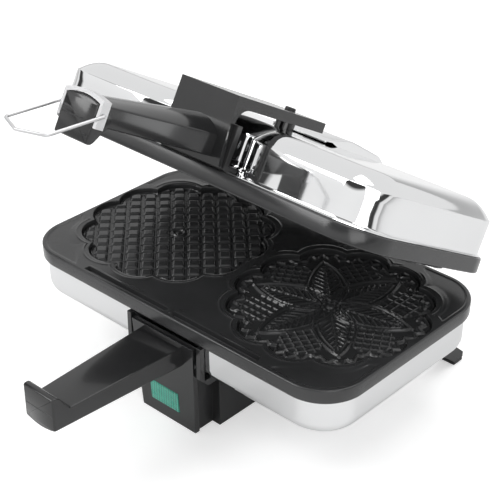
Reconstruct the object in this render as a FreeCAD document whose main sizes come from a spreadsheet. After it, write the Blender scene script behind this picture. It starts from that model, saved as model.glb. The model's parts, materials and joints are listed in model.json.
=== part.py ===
import FreeCAD, Part

import math
import os
import re

import Sketcher
from FreeCAD import Placement, Rotation, Vector

# Two-cookie pizzelle iron: a chrome base and lid joined by a rear hinge pin, each carrying a cast
# grid plate, a heater and a handle, with a wire latch bail on the upper handle.
#
# Working frame of every piece: X along the hinge, -Y to the handles, Z up, Z = 0 on the top face of
# the lower grid plate, X = Y = 0 at that plate's middle, lid closed.  stand_place() and lid_place()
# then move the pieces to the row frame: Z = 0 on the table, origin at the middle of the leg's sole,
# lid held open by lid_open degrees.

DIMENSIONS = [
    # grid plates
    ("plate_width", 272.0, "along the hinge"),
    ("plate_depth", 159.2, "front to back"),
    ("plate_corner", 30.0, "corner radius seen from above"),
    ("plate_band", 10.0, "height of the edge band"),
    ("plate_web", 3.4, "metal left above the heater cavity"),
    ("skirt_wall", 7.0, "thickness of the edge band"),
    ("mate_gap", 0.4, "between the two rims when shut"),
    ("cookie_x", 68.5, "pattern centre, sideways"),
    ("cookie_y", 2.0, "pattern centre, front to back"),
    ("lobe_ring", 48.0, "circle of the scallop centres"),
    ("lobe_radius", 19.0, "radius of one scallop"),
    ("recess_depth", 3.6, "cookie recess in the lower plate"),
    ("disc_drop", 1.6, "cookie disc of the upper plate"),
    ("disc_clear", 1.0, "disc to recess wall"),
    ("drip_width", 3.0, "drip groove along the front rim"),
    ("drip_depth", 1.5, "drip groove"),
    ("drip_length", 72.0, "drip groove"),
    ("drip_inset", 4.8, "front edge to groove centre"),
    # housings
    ("housing_inset", 3.5, "band face to housing wall"),
    ("sheet", 1.0, "housing sheet thickness"),
    ("base_height", 26.5, "base housing below the band"),
    ("base_round", 9.0, "rounded bottom edge of the base"),
    ("wall_top", 34.2, "top edge of the lid wall"),
    ("crown_top", 43.5, "flat top of the lid"),
    ("crown_inset", 19.0, "width of the sloping shoulder"),
    ("waist_x", 68.0, "centre of the waist curve, sideways"),
    ("waist_flank", 6.0, "how far a lobe's front arc reaches past the waist's throat"),
    ("waist_throat", 12.0, "half width of the waist valley"),
    ("post_x", 40.0, "plate posts, sideways"),
    ("post_y", 61.0, "plate posts, front to back"),
    ("post_radius", 4.5, "plate posts"),
    # hinge and lid
    ("hinge_y", 100.4, "hinge axis behind the plate centre"),
    ("hinge_z", 4.7, "hinge axis above the lower plate"),
    ("lid_open", 29.84, "lid angle at rest"),
    ("pin_radius", 2.5, "hinge pin"),
    ("pin_clear", 0.05, "radial running clearance of the pin"),
    ("lug_thick", 3.0, "hinge lugs"),
    ("lug_x", 30.0, "inner face of the base lugs"),
    ("lug_gap", 0.6, "base lug to lid lug"),
    ("lug_round", 7.0, "radius of a lug around the pin"),
    ("bracket_sheet", 2.5, "hinge bracket plates"),
    ("bracket_screw_z", 23.0, "base hinge bracket screws below the plate face"),
    ("hood_half", 23.0, "half width of the hinge hood"),
    # leg, feet
    ("plate_height", 82.7, "table to the lower plate's top face"),
    ("leg_face_y", 81.4, "front of the leg at its top"),
    ("leg_lean", 4.0, "how far the leg leans back to its foot"),
    ("leg_top", 14.0, "leg top below the plate face"),
    ("leg_thick", 3.8, "leg front plate"),
    ("leg_half_top", 27.3, "half width at the top"),
    ("leg_half_foot", 24.4, "half width at the foot"),
    ("box_half", 29.8, "half width of the foot box"),
    ("box_front", 60.3, "front wall of the foot box"),
    ("box_back", 12.0, "back wall of the foot box"),
    ("box_wall", 2.5, "walls and sole"),
    ("column_half", 23.0, "half width of the column behind the leg plate"),
    ("collar_half", 33.0, "half width of the collar"),
    ("collar_rim", 3.7, "width of the collar's side rims"),
    ("collar_front", 80.2, "front of the collar"),
    ("collar_drop", 42.0, "underside of the collar"),
    ("seat_gap", 0.3, "between mouldings and sheet metal"),
    ("lens_width", 26.0, "indicator window"),
    ("lens_height", 15.5, "indicator window"),
    ("lens_x", -2.2, "indicator window centre, sideways"),
    ("lens_z", 65.0, "indicator window centre below the plate face"),
    ("lamp_radius", 3.0, "indicator lamp"),
    ("rear_leg_x", 97.0, "middle of a rear leg"),
    ("rear_leg_wide", 12.0, "rear leg width"),
    ("rear_foot_y", 102.5, "middle of a rear foot"),
    ("pad_height", 3.0, "rubber foot pad"),
    # handles
    ("handle_end", 180.8, "end face of both handles"),
    ("handle_inner", 16.0, "inner face above or below the split"),
    ("handle_side", 27.6, "outer edge at the free end"),
    ("handle_side_root", 29.6, "outer edge at the root"),
    ("handle_crown", 30.0, "crown at the free end"),
    ("handle_crown_root", 38.0, "crown at the root"),
    ("handle_half", 13.1, "half width at the free end"),
    ("handle_half_root", 17.8, "half width at the root"),
    ("lip_reach", 4.9, "lip edge above or below the split"),
    ("lip_thick", 3.0, "lip at its edge"),
    ("lip_ramp", 12.6, "end face to the foot of the lip"),
    ("latch_groove", 17.2, "latch groove above or below the split"),
    # lid bracket
    ("bracket_face_y", 83.4, "front of the lid bracket"),
    ("bracket_thick", 4.4, "front plate"),
    ("bracket_foot", 12.4, "lower edge of the front plate"),
    ("bracket_top", 55.7, "top of the arm"),
    ("arm_thick", 6.7, "arm over the lid"),
    ("arm_back", 8.6, "arm end behind the plate centre"),
    ("bracket_half_low", 25.9, "half width at the lower edge"),
    ("bracket_half", 23.7, "half width at the top"),
    ("arm_round", 10.0, "inner corner of the arm"),
    ("liner_thick", 4.4, "liner behind the front plate"),
    ("liner_foot", 2.8, "liner foot on the lid flange"),
    ("foot_screw_x", 18.0, "liner and hinge bracket screws, sideways"),
    ("liner_screw_y", 70.0, "liner screws in front of the centre"),
    ("hinge_screw_y", 73.0, "hinge bracket screws behind the centre"),
    ("handle_screw_x", 8.5, "handle screws, sideways"),
    ("handle_screw_z", 22.5, "handle screws above or below the split"),
    ("handle_screw_bite", 14.0, "handle screw length inside the handle"),
    # bail
    ("bail_pivot_y", 177.3, "pivot in front of the plate centre"),
    ("bail_pivot_z", 22.5, "pivot above the split"),
    ("bail_half", 17.0, "half width of the bail"),
    ("bail_arm", 39.8, "pivot to shoulder"),
    ("bail_point", 6.8, "shoulder to tip"),
    ("bail_drop", 25.5, "angle of the bail below the handle at rest"),
    ("wire_radius", 1.0, "bail wire"),
    ("wire_clear", 0.06, "radial clearance in the ears"),
    ("ear_thick", 2.2, "ears of the bail saddle"),
    ("saddle_length", 6.2, "saddle along the handle"),
    # heaters and inner parts
    ("heater_radius", 3.3, "sheathed heater rod"),
    ("heater_x", 104.0, "half length of the heater loop"),
    ("heater_y", 40.0, "half width of the heater loop"),
    ("heater_bend", 26.0, "bend radius"),
    ("shield_level", 9.5, "heater side of the shield behind the band"),
    ("shield_sheet", 0.6, "heat shield"),
    ("gland_x", 60.0, "cord inlet sideways"),
    ("gland_z", 22.0, "cord inlet below the plate face"),
    ("gland_bore", 3.6, "cord inlet bore radius"),
    ("gland_neck", 5.4, "cord inlet neck radius"),
    ("screw_radius", 1.9, "all screws"),
    ("screw_head", 3.6, "all screws"),
    ("screw_clear", 0.25, "radial clearance of screw holes"),
    ("post_screw", 12.0, "base plate screws under the head"),
    ("lid_screw", 8.0, "liner and hinge bracket screws under the head"),
    ("arm_screw", 24.0, "arm screw under the head"),
    ("box_screw_x", 14.0, "foot box screws, sideways"),
    ("box_screw_y", 36.0, "foot box screws in front of the centre"),
    ("leg_screw_y", 56.0, "rear leg screws behind the centre"),
    ("leg_screw", 6.0, "rear leg screws inside the leg"),
]

doc = FreeCAD.newDocument("PizzelleIron")
sheet = doc.addObject("Spreadsheet::Sheet", "dims")
sheet.set("A1", "dimension")
sheet.set("B1", "value")
sheet.set("C1", "meaning")
for row, (alias, value, meaning) in enumerate(DIMENSIONS, start=2):
    sheet.set("A%d" % row, alias)
    sheet.set("B%d" % row, str(value))
    sheet.set("C%d" % row, meaning)
    sheet.setAlias("B%d" % row, alias)
doc.recompute()

ALIASES = {alias for alias, value, meaning in DIMENSIONS}
SUBPARTS = []


# ---------------------------------------------------------------- helpers

def bound(text):
    """The expression with every dimension name pointed at the sheet."""
    return re.sub(r"[a-z_]+", lambda word: ("dims." if word.group() in ALIASES else "") + word.group(), text)


def num(text):
    """The present value of an expression in the dimension names."""
    return float(sheet.evalExpression(text))


def bind(item, **expressions):
    for name, text in expressions.items():
        item.setExpression(name.replace("__", "."), bound(text))


def new_body(label):
    body = doc.addObject("PartDesign::Body", label)
    body.Label = label
    SUBPARTS.append(body)
    return body


def new_sketch(body, role, offset="0"):
    """A sketch on one of the body's own planes, moved along the plane's normal."""
    plane = [item for item in body.Origin.OriginFeatures if item.Role == role][0]
    sketch = body.newObject("Sketcher::SketchObject", body.Name + "_sketch")
    sketch.AttachmentSupport = [(plane, "")]
    sketch.MapMode = "FlatFace"
    sketch.setExpression("AttachmentOffset.Base.z", bound(offset))
    return sketch


def fix_point(sketch, item, vertex, across, up):
    """Ties a sketch point to two expressions measured from the sketch origin."""
    for kind, text in (("DistanceX", across), ("DistanceY", up)):
        index = sketch.addConstraint(Sketcher.Constraint(kind, -1, 1, item, vertex, num(text)))
        sketch.setExpression("Constraints[%d]" % index, bound(text))


def fix_radius(sketch, item, radius):
    index = sketch.addConstraint(Sketcher.Constraint("Radius", item, num(radius)))
    sketch.setExpression("Constraints[%d]" % index, bound(radius))


def add_polygon(sketch, corners):
    """A closed polygon with every corner tied to its two expressions."""
    places = [Vector(num(across), num(up), 0) for across, up in corners]
    first = sketch.GeometryCount
    count = len(corners)
    for step in range(count):
        sketch.addGeometry(Part.LineSegment(places[step], places[(step + 1) % count]), False)
    for step in range(count):
        following = first + (step + 1) % count
        sketch.addConstraint(Sketcher.Constraint("Coincident", first + step, 2, following, 1))
        fix_point(sketch, first + step, 1, *corners[step])


def add_rectangle(sketch, left, right, low, high):
    add_polygon(sketch, [(left, low), (right, low), (right, high), (left, high)])


def add_rounded(sketch, half_x, half_y, corner):
    """A rectangle about the sketch origin with four tangent corner arcs."""
    turns = ((1, -1, 270), (1, 1, 0), (-1, 1, 90), (-1, -1, 180))
    lines = []
    for step, (side, end, start) in enumerate(turns):
        near = ("%d * (%s - (%s))" % (side, half_x, corner), "%d * (%s)" % (end, half_y))
        far = ("%d * (%s)" % (side, half_x), "%d * (%s - (%s))" % (end, half_y, corner))
        lines.append((near, far) if step % 2 == 0 else (far, near))
    first = sketch.GeometryCount
    for step in range(4):
        begin, finish = lines[step][1], lines[(step + 1) % 4][0]
        ends = [Vector(num(across), num(up), 0) for across, up in (begin, finish)]
        sketch.addGeometry(Part.LineSegment(*ends), False)
        fix_point(sketch, first + step, 1, *begin)
        fix_point(sketch, first + step, 2, *finish)
    for step, (side, end, start) in enumerate(turns):
        centre = Vector(side * num("%s - (%s)" % (half_x, corner)), end * num("%s - (%s)" % (half_y, corner)), 0)
        circle = Part.Circle(centre, Vector(0, 0, 1), num(corner))
        turn = math.radians(start)
        item = sketch.addGeometry(Part.ArcOfCircle(circle, turn, turn + math.pi / 2), False)
        sketch.addConstraint(Sketcher.Constraint("Coincident", item, 1, first + (step - 1) % 4, 2))
        sketch.addConstraint(Sketcher.Constraint("Coincident", item, 2, first + step, 1))
        fix_radius(sketch, item, corner)


def add_circle(sketch, across, up, radius):
    circle = Part.Circle(Vector(num(across), num(up), 0), Vector(0, 0, 1), num(radius))
    item = sketch.addGeometry(circle, False)
    fix_radius(sketch, item, radius)
    fix_point(sketch, item, 3, across, up)


def add_scallop(sketch, across, up, ring, lobe):
    """Twelve equal lobes round a centre, each an arc that ends on its neighbours."""
    lobes = 12
    half_step = math.pi / lobes
    reach = num(ring) * math.cos(half_step)
    reach += math.sqrt(num(lobe) ** 2 - (num(ring) * math.sin(half_step)) ** 2)
    first = sketch.GeometryCount
    for step in range(lobes):
        angle = half_step * (2 * step + 1)
        centre = Vector(num(across) + num(ring) * math.cos(angle), num(up) + num(ring) * math.sin(angle), 0)
        ends = []
        for side in (-half_step, half_step):
            corner = Vector(num(across) + reach * math.cos(angle + side),
                            num(up) + reach * math.sin(angle + side), 0)
            ends.append(math.atan2(corner.y - centre.y, corner.x - centre.x))
        circle = Part.Circle(centre, Vector(0, 0, 1), num(lobe))
        sketch.addGeometry(Part.ArcOfCircle(circle, ends[0], ends[1]), False)
    for step in range(lobes):
        turn = 15 + 30 * step
        item = first + step
        fix_radius(sketch, item, lobe)
        fix_point(sketch, item, 3, "%s + (%s) * cos(%d deg)" % (across, ring, turn),
                  "%s + (%s) * sin(%d deg)" % (up, ring, turn))
        sketch.addConstraint(Sketcher.Constraint("Coincident", item, 2, first + (step + 1) % lobes, 1))


def pad(body, sketch, length, midplane=False, reverse=False):
    feature = body.newObject("PartDesign::Pad", body.Name + "_pad")
    feature.Profile = sketch
    feature.Midplane = midplane
    feature.Reversed = reverse
    bind(feature, Length=length)
    doc.recompute()
    return feature


def pocket(body, sketch, depth="", midplane=False, reverse=False):
    """A pocket to a depth, or through everything; it must take metal away."""
    before = body.Shape.Volume
    feature = body.newObject("PartDesign::Pocket", body.Name + "_pocket")
    feature.Profile = sketch
    feature.Midplane = midplane
    feature.Reversed = reverse
    if depth:
        bind(feature, Length=depth)
    else:
        feature.Type = "ThroughAll"
    doc.recompute()
    if not body.Shape.Volume < before:
        raise RuntimeError(body.Name + ": a pocket cut nothing")
    return feature


def edges_of(shape, chosen):
    return ["Edge%d" % (index + 1) for index, edge in enumerate(shape.Edges) if chosen(edge)]


def fillet(body, radius, chosen):
    base = body.Tip
    names = edges_of(base.Shape, chosen)
    feature = body.newObject("PartDesign::Fillet", body.Name + "_fillet")
    feature.Base = (base, names)
    bind(feature, Radius=radius)
    doc.recompute()
    return feature


def hollow(body, wall, chosen):
    """Hollows the body inwards to one wall thickness, leaving the chosen face open."""
    base = body.Tip
    faces = ["Face%d" % (index + 1) for index, face in enumerate(base.Shape.Faces) if chosen(face)]
    feature = body.newObject("PartDesign::Thickness", body.Name + "_thickness")
    feature.Base = (base, faces)
    feature.Reversed = True
    bind(feature, Value=wall)
    doc.recompute()
    return feature


def is_upright(edge):
    """A straight edge along Z."""
    low, high = edge.Vertexes[0].Point, edge.Vertexes[-1].Point
    return abs(low.x - high.x) < 1e-6 and abs(low.y - high.y) < 1e-6 and abs(low.z - high.z) > 1e-3


def lies_at(edge, height):
    return abs(edge.BoundBox.ZMin - height) < 1e-4 and abs(edge.BoundBox.ZMax - height) < 1e-4


def shaped(label, shape):
    """A piece whose shape is worked out below from the sheet's values."""
    item = doc.addObject("Part::Feature", label)
    item.Label = label
    item.Shape = shape
    SUBPARTS.append(item)
    return item


def rod(path, radius):
    """A round bar of one radius along a wire."""
    start = path.Edges[0]
    heading = start.tangentAt(start.FirstParameter)
    section = Part.Wire(Part.makeCircle(radius, start.valueAt(start.FirstParameter), heading))
    return path.makePipeShell([section], True, True)


def bent_path(points, bends):
    """Straight runs through the points, each inner corner turned on an arc of its bend radius."""
    edges = []
    begin = points[0]
    for place in range(1, len(points) - 1):
        corner = points[place]
        before = (points[place - 1] - corner).normalize()
        after = (points[place + 1] - corner).normalize()
        half = before.getAngle(after) / 2
        setback = bends[place - 1] / math.tan(half)
        middle = corner + (before + after).normalize() * (bends[place - 1] / math.sin(half) - bends[place - 1])
        enter = corner + before * setback
        leave = corner + after * setback
        if (enter - begin).Length > 1e-6:
            edges.append(Part.LineSegment(begin, enter).toShape())
        edges.append(Part.Arc(enter, middle, leave).toShape())
        begin = leave
    if (points[-1] - begin).Length > 1e-6:
        edges.append(Part.LineSegment(begin, points[-1]).toShape())
    return Part.Wire(edges)


def moved(shape, shift):
    """The shape with its geometry carried over, so that a Placement can be set on it later."""
    matrix = FreeCAD.Matrix()
    matrix.move(shift)
    shape.transformShape(matrix, True)
    return shape


def mirrored(shape, plane_height):
    """The shape turned over about a level plane."""
    return shape.mirror(Vector(0, 0, plane_height), Vector(0, 0, 1))


def screw(tip, heading, length):
    """A pan-head screw: tip point, heading from head to tip, length under the head."""
    seat = tip - heading * length
    shank = Part.makeCylinder(num("screw_radius"), length, seat, heading)
    head_height = num("screw_head * 0.6")
    head = Part.makeCylinder(num("screw_head"), head_height, seat - heading * head_height, heading)
    rim = [edge for edge in head.Edges if edge.Closed and (edge.CenterOfMass - seat).Length > head_height / 2]
    return shank.fuse(head.makeFillet(head_height * 0.4, rim)).removeSplitter()


# ---------------------------------------------------------------- grid plates

ARM_SCREW_Y = "arm_back - 9"


def post_places():
    """The four posts that tie the lower plate to its housing."""
    return [(x, y) for x in ("-post_x", "post_x") for y in ("-post_y", "post_y")]


def lid_screw_places():
    """Two screws through the liner's foot and two through the hinge bracket's."""
    return [(x, y) for x in ("-foot_screw_x", "foot_screw_x") for y in ("-liner_screw_y", "hinge_screw_y")]


def grid_plate(label, upper):
    """Cast plate: edge band, heater cavity on the back, screw posts, scalloped cookie faces."""
    body = new_body(label)
    face = "mate_gap" if upper else "0"
    back = "mate_gap + plate_band" if upper else "-plate_band"
    away = "+" if upper else "-"
    slab = new_sketch(body, "XY_Plane", face)
    add_rectangle(slab, "-plate_width / 2", "plate_width / 2", "-plate_depth / 2", "plate_depth / 2")
    pad(body, slab, "plate_band", reverse=not upper)
    fillet(body, "plate_corner", is_upright)
    cavity = new_sketch(body, "XY_Plane", back)
    add_rounded(cavity, "plate_width / 2 - skirt_wall", "plate_depth / 2 - skirt_wall",
                "plate_corner - skirt_wall")
    shelf = "plate_web" if upper else "recess_depth + plate_web"
    pocket(body, cavity, "plate_band - (%s)" % shelf, reverse=not upper)
    posts = new_sketch(body, "XY_Plane", "%s %s (%s)" % (face, away, shelf))
    if upper:
        add_circle(posts, "0", ARM_SCREW_Y, "post_radius")
        pad(body, posts, "crown_top - sheet - mate_gap - plate_web")
        bosses = new_sketch(body, "XY_Plane", "%s + %s" % (face, shelf))
        for across, up in lid_screw_places():
            add_circle(bosses, across, up, "post_radius")
        pad(body, bosses, "plate_band - plate_web")
    else:
        for across, up in post_places():
            add_circle(posts, across, up, "post_radius")
        pad(body, posts, "plate_band + base_height - sheet - recess_depth - plate_web", reverse=True)
    for side in ("-cookie_x", "cookie_x"):
        if upper:
            disc = new_sketch(body, "XY_Plane", face)
            add_scallop(disc, side, "cookie_y", "lobe_ring", "lobe_radius - disc_clear")
            pad(body, disc, "disc_drop", reverse=True)
        else:
            recess = new_sketch(body, "XY_Plane", "0")
            add_scallop(recess, side, "cookie_y", "lobe_ring", "lobe_radius")
            pocket(body, recess, "recess_depth")
    if not upper:
        drip = new_sketch(body, "XY_Plane", "0")
        centre = "-plate_depth / 2 + drip_inset"
        for start in ("-drip_length - 3", "3"):
            add_rectangle(drip, start, "%s + drip_length" % start,
                          "%s - drip_width / 2" % centre, "%s + drip_width / 2" % centre)
        pocket(body, drip, "drip_depth")
        taps = new_sketch(body, "XY_Plane", "-plate_band - base_height + sheet")
        for across, up in post_places():
            add_circle(taps, across, up, "screw_radius + screw_clear")
        pocket(body, taps, "post_screw + screw_clear", reverse=True)
    else:
        taps = new_sketch(body, "XY_Plane", "mate_gap + plate_band")
        for across, up in lid_screw_places():
            add_circle(taps, across, up, "screw_radius + screw_clear")
        pocket(body, taps, "lid_screw - liner_foot + screw_clear")
        centre_tap = new_sketch(body, "XY_Plane", "crown_top - sheet")
        add_circle(centre_tap, "0", ARM_SCREW_Y, "screw_radius + screw_clear")
        pocket(body, centre_tap, "arm_screw - (bracket_top - crown_top) + screw_clear")
    return body


# ---------------------------------------------------------------- housings

def box_screw_places():
    return [(x, "-box_screw_y") for x in ("-box_screw_x", "box_screw_x")]


def leg_screw_places():
    return [(x, "leg_screw_y") for x in ("-rear_leg_x", "rear_leg_x")]


def base_housing():
    """Deep-drawn tray with a rounded lower edge, open to the plate."""
    body = new_body("lower_housing")
    shell = new_sketch(body, "XY_Plane", "-plate_band")
    wide, deep = "plate_width / 2 - housing_inset", "plate_depth / 2 - housing_inset"
    add_rectangle(shell, "-(%s)" % wide, wide, "-(%s)" % deep, deep)
    pad(body, shell, "base_height", reverse=True)
    fillet(body, "plate_corner - housing_inset", is_upright)
    fillet(body, "base_round", lambda edge: lies_at(edge, num("-plate_band - base_height")))
    hollow(body, "sheet", lambda face: lies_at(face, num("-plate_band")))
    holes = new_sketch(body, "XY_Plane", "-plate_band - base_height")
    for across, up in post_places() + box_screw_places() + leg_screw_places():
        add_circle(holes, across, up, "screw_radius + screw_clear")
    pocket(body, holes, "sheet * 4", midplane=True)
    inlet = new_sketch(body, "XZ_Plane", "-(%s)" % deep)
    add_circle(inlet, "gland_x", "-gland_z", "gland_neck + seat_gap / 2")
    for side in ("-foot_screw_x", "foot_screw_x"):
        add_circle(inlet, side, "-bracket_screw_z", "screw_radius + screw_clear")
    pocket(body, inlet, "sheet * 4", midplane=True)
    front = new_sketch(body, "XZ_Plane", deep)
    for side in ("-handle_screw_x", "handle_screw_x"):
        add_circle(front, side, "-handle_screw_z", "screw_radius + screw_clear")
    pocket(body, front, "sheet * 4", midplane=True)
    return body


def lobed_outline(inset, height):
    """Lid outline: a rounded rectangle with a waist in front and behind, moved inwards by inset.
    Straight edges shift, outward arcs lose the inset and the two valley arcs gain it."""
    wide = num("plate_width / 2 - housing_inset")
    deep = num("plate_depth / 2 - housing_inset")
    corner = num("plate_corner - housing_inset")
    turn = num("waist_x - waist_throat + waist_flank")
    turn_x, turn_y = num("waist_x"), deep - turn
    lean = math.acos((turn_x - num("waist_throat")) / turn)
    throat_y = turn_y + turn * math.sin(lean)
    rise = num("waist_throat") * math.tan(lean)
    valley = num("waist_throat") / math.cos(lean)
    valley_y = throat_y + rise
    edges = []

    def at(x, y):
        return Vector(x, y, height)

    def arc(centre_x, centre_y, radius, begin, end):
        points = [at(centre_x + radius * math.cos(math.radians(angle)),
                     centre_y + radius * math.sin(math.radians(angle)))
                  for angle in (begin, (begin + end) / 2, end)]
        edges.append(Part.Arc(*points).toShape())
        return points[0], points[2]

    lean_deg = math.degrees(lean)
    corner_x, corner_y = wide - corner, deep - corner
    stops = []
    for centre_x, centre_y, radius, begin, end in (
            (corner_x, -corner_y, corner - inset, 270, 360),
            (corner_x, corner_y, corner - inset, 0, 90),
            (turn_x, turn_y, turn - inset, 90, 180 - lean_deg),
            (0, valley_y, valley + inset, -lean_deg, lean_deg - 180),
            (-turn_x, turn_y, turn - inset, lean_deg, 90),
            (-corner_x, corner_y, corner - inset, 90, 180),
            (-corner_x, -corner_y, corner - inset, 180, 270),
            (-turn_x, -turn_y, turn - inset, 270, 360 - lean_deg),
            (0, -valley_y, valley + inset, 180 - lean_deg, lean_deg),
            (turn_x, -turn_y, turn - inset, 180 + lean_deg, 270)):
        stops.append(arc(centre_x, centre_y, radius, begin, end))
    runs = []
    for step, edge in enumerate(edges):
        runs.append(edge)
        leave, enter = stops[step][1], stops[(step + 1) % len(stops)][0]
        if (enter - leave).Length > 1e-6:
            runs.append(Part.LineSegment(leave, enter).toShape())
    return Part.Wire(runs)


def lid_block(inset, lower, wall, crown):
    """Solid under the lid skin: upright walls, then a sloping shoulder to the flat crown."""
    walls = Part.Face(lobed_outline(inset, lower)).extrude(Vector(0, 0, wall - lower))
    shoulder = Part.makeLoft([lobed_outline(inset, wall), lobed_outline(num("crown_inset"), crown)], True, True)
    return walls.fuse(shoulder).removeSplitter()


def rounded_slab(half_x, half_y, corner, low, high):
    block = Part.makeBox(2 * half_x, 2 * half_y, high - low, Vector(-half_x, -half_y, low))
    return block.makeFillet(corner, [edge for edge in block.Edges if is_upright(edge)])


def lid_housing():
    """Pressed lid skin: a rim flange on the plate's band and the two-lobed raised cover."""
    rim = num("mate_gap + plate_band")
    sheet_thick = num("sheet")
    outer = lid_block(0, rim, num("wall_top"), num("crown_top"))
    inner = lid_block(sheet_thick, rim - sheet_thick, num("wall_top - sheet * 0.8"), num("crown_top - sheet"))
    flange = rounded_slab(num("plate_width / 2 - housing_inset"), num("plate_depth / 2 - housing_inset"),
                          num("plate_corner - housing_inset"), rim, rim + sheet_thick)
    skin = outer.fuse(flange).cut(inner)
    hole = num("screw_radius + screw_clear")
    for x in (-num("foot_screw_x"), num("foot_screw_x")):
        for y in (-num("liner_screw_y"), num("hinge_screw_y")):
            skin = skin.cut(Part.makeCylinder(hole, 3 * sheet_thick, Vector(x, y, rim - sheet_thick)))
    arm_hole = Part.makeCylinder(hole, 4 * sheet_thick, Vector(0, num(ARM_SCREW_Y), num("crown_top") - 2 * sheet_thick))
    return shaped("upper_housing", skin.cut(arm_hole).removeSplitter())


# ---------------------------------------------------------------- leg and feet

def leg_face(depth):
    """Y of the leg's leaning front face at a depth below the plate face, as an expression."""
    return "-leg_face_y + leg_lean * (%s - leg_top) / (plate_height - leg_top)" % depth


def lean_strip(sketch, front, back, top, foot):
    """A YZ strip parallel to the leg's front face, front and back measured behind that face."""
    add_polygon(sketch, [("%s + %s" % (leg_face(top), front), "-(%s)" % top),
                         ("%s + %s" % (leg_face(top), back), "-(%s)" % top),
                         ("%s + %s" % (leg_face(foot), back), "-(%s)" % foot),
                         ("%s + %s" % (leg_face(foot), front), "-(%s)" % foot)])


def front_leg():
    """Leaning front plate, narrower at the foot, with the indicator window and handle screw holes."""
    body = new_body("front_leg")
    side = new_sketch(body, "YZ_Plane")
    lean_strip(side, "0", "leg_thick", "leg_top", "plate_height")
    pad(body, side, "leg_half_top * 2", midplane=True)
    taper = new_sketch(body, "XZ_Plane", "leg_face_y / 2")
    for hand in ("-1", "1"):
        add_polygon(taper, [("%s * leg_half_top" % hand, "-leg_top"),
                            ("%s * (leg_half_top + 5)" % hand, "-leg_top"),
                            ("%s * (leg_half_top + 5)" % hand, "-plate_height - 1"),
                            ("%s * leg_half_foot" % hand, "-plate_height - 1"),
                            ("%s * leg_half_foot" % hand, "-plate_height")])
    pocket(body, taper, "leg_face_y * 2", midplane=True)
    openings = new_sketch(body, "XZ_Plane", "leg_face_y / 2")
    add_rectangle(openings, "lens_x - lens_width / 2", "lens_x + lens_width / 2",
                  "-lens_z - lens_height / 2", "-lens_z + lens_height / 2")
    for hand in ("-handle_screw_x", "handle_screw_x"):
        add_circle(openings, hand, "-handle_screw_z", "screw_radius + screw_clear")
    pocket(body, openings, "leg_face_y * 2", midplane=True)
    return body


def indicator():
    """Lens in the leg's window and the lamp that lies in the chamber behind it."""
    lens = new_body("indicator_lens")
    strip = new_sketch(lens, "YZ_Plane", "lens_x")
    lean_strip(strip, "-0.4", "leg_thick - 1", "(lens_z - lens_height / 2 + seat_gap / 2)",
               "(lens_z + lens_height / 2 - seat_gap / 2)")
    pad(lens, strip, "lens_width - seat_gap", midplane=True)
    lamp = new_body("indicator_lamp")
    round_end = new_sketch(lamp, "YZ_Plane", "lens_x")
    add_circle(round_end, "%s + leg_thick + 5" % leg_face("lens_z"), "-lens_z - lens_height / 2 + lamp_radius",
               "lamp_radius")
    pad(lamp, round_end, "lens_width * 0.7", midplane=True)


def leg_collar():
    """U-shaped collar on the housing front: two rims beside the leg, joined under the housing."""
    body = new_body("leg_collar")
    under = "plate_band + base_height + seat_gap"
    wall = "-plate_depth / 2 + housing_inset - seat_gap"
    side = new_sketch(body, "YZ_Plane")
    add_polygon(side, [("-collar_front", "-plate_band - seat_gap * 6"), (wall, "-plate_band - seat_gap * 6"),
                       (wall, "-(%s)" % under), ("-box_front - seat_gap", "-(%s)" % under),
                       ("-box_front - seat_gap", "-collar_drop"), ("-collar_front + 7", "-collar_drop"),
                       ("-collar_front", "-collar_drop + 7")])
    pad(body, side, "collar_half * 2", midplane=True)
    mouth = new_sketch(body, "XY_Plane", "-collar_drop")
    rim = "collar_half - collar_rim"
    back = "%s + leg_thick + seat_gap" % leg_face("collar_drop")
    add_rectangle(mouth, "-(%s)" % rim, rim, "-leg_face_y - 5", back)
    pocket(body, mouth, "collar_drop * 2", midplane=True)
    return body


def foot_box():
    """Hollow front foot: a box under the housing, a column behind the leg, lamp chamber, bosses."""
    body = new_body("front_foot")
    top = "plate_band + base_height"
    block = new_sketch(body, "XY_Plane", "-plate_height")
    add_rectangle(block, "-box_half", "box_half", "-box_front", "-box_back")
    pad(body, block, "plate_height - (%s)" % top)
    fillet(body, "box_wall", lambda edge: is_upright(edge) and edge.Vertexes[0].Y > -num("box_front") + 1)
    column = new_sketch(body, "YZ_Plane")
    add_polygon(column, [("%s + leg_thick" % leg_face("(collar_drop + seat_gap)"), "-collar_drop - seat_gap"),
                         ("-box_front + 1", "-collar_drop - seat_gap"), ("-box_front + 1", "-plate_height"),
                         ("%s + leg_thick" % leg_face("plate_height"), "-plate_height")])
    pad(body, column, "column_half * 2", midplane=True)
    room = new_sketch(body, "XY_Plane", "-(%s)" % top)
    add_rectangle(room, "-box_half + box_wall", "box_half - box_wall",
                  "-box_front + box_wall", "-box_back - box_wall")
    pocket(body, room, "plate_height - (%s) - box_wall" % top)
    bosses = new_sketch(body, "XY_Plane", "-plate_height + box_wall / 2")
    for across, up in box_screw_places():
        add_circle(bosses, across, up, "post_radius")
    pad(body, bosses, "plate_height - (%s) - box_wall / 2" % top)
    taps = new_sketch(body, "XY_Plane", "-(%s)" % top)
    for across, up in box_screw_places():
        add_circle(taps, across, up, "screw_radius + screw_clear")
    pocket(body, taps, "post_screw + screw_clear")
    chamber = new_sketch(body, "XZ_Plane", "leg_face_y")
    add_rectangle(chamber, "lens_x - lens_width / 2", "lens_x + lens_width / 2",
                  "-lens_z - lens_height / 2", "-lens_z + lens_height / 2")
    pocket(body, chamber, "leg_face_y - (%s)" % "box_front + box_wall", reverse=False)
    return body


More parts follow.
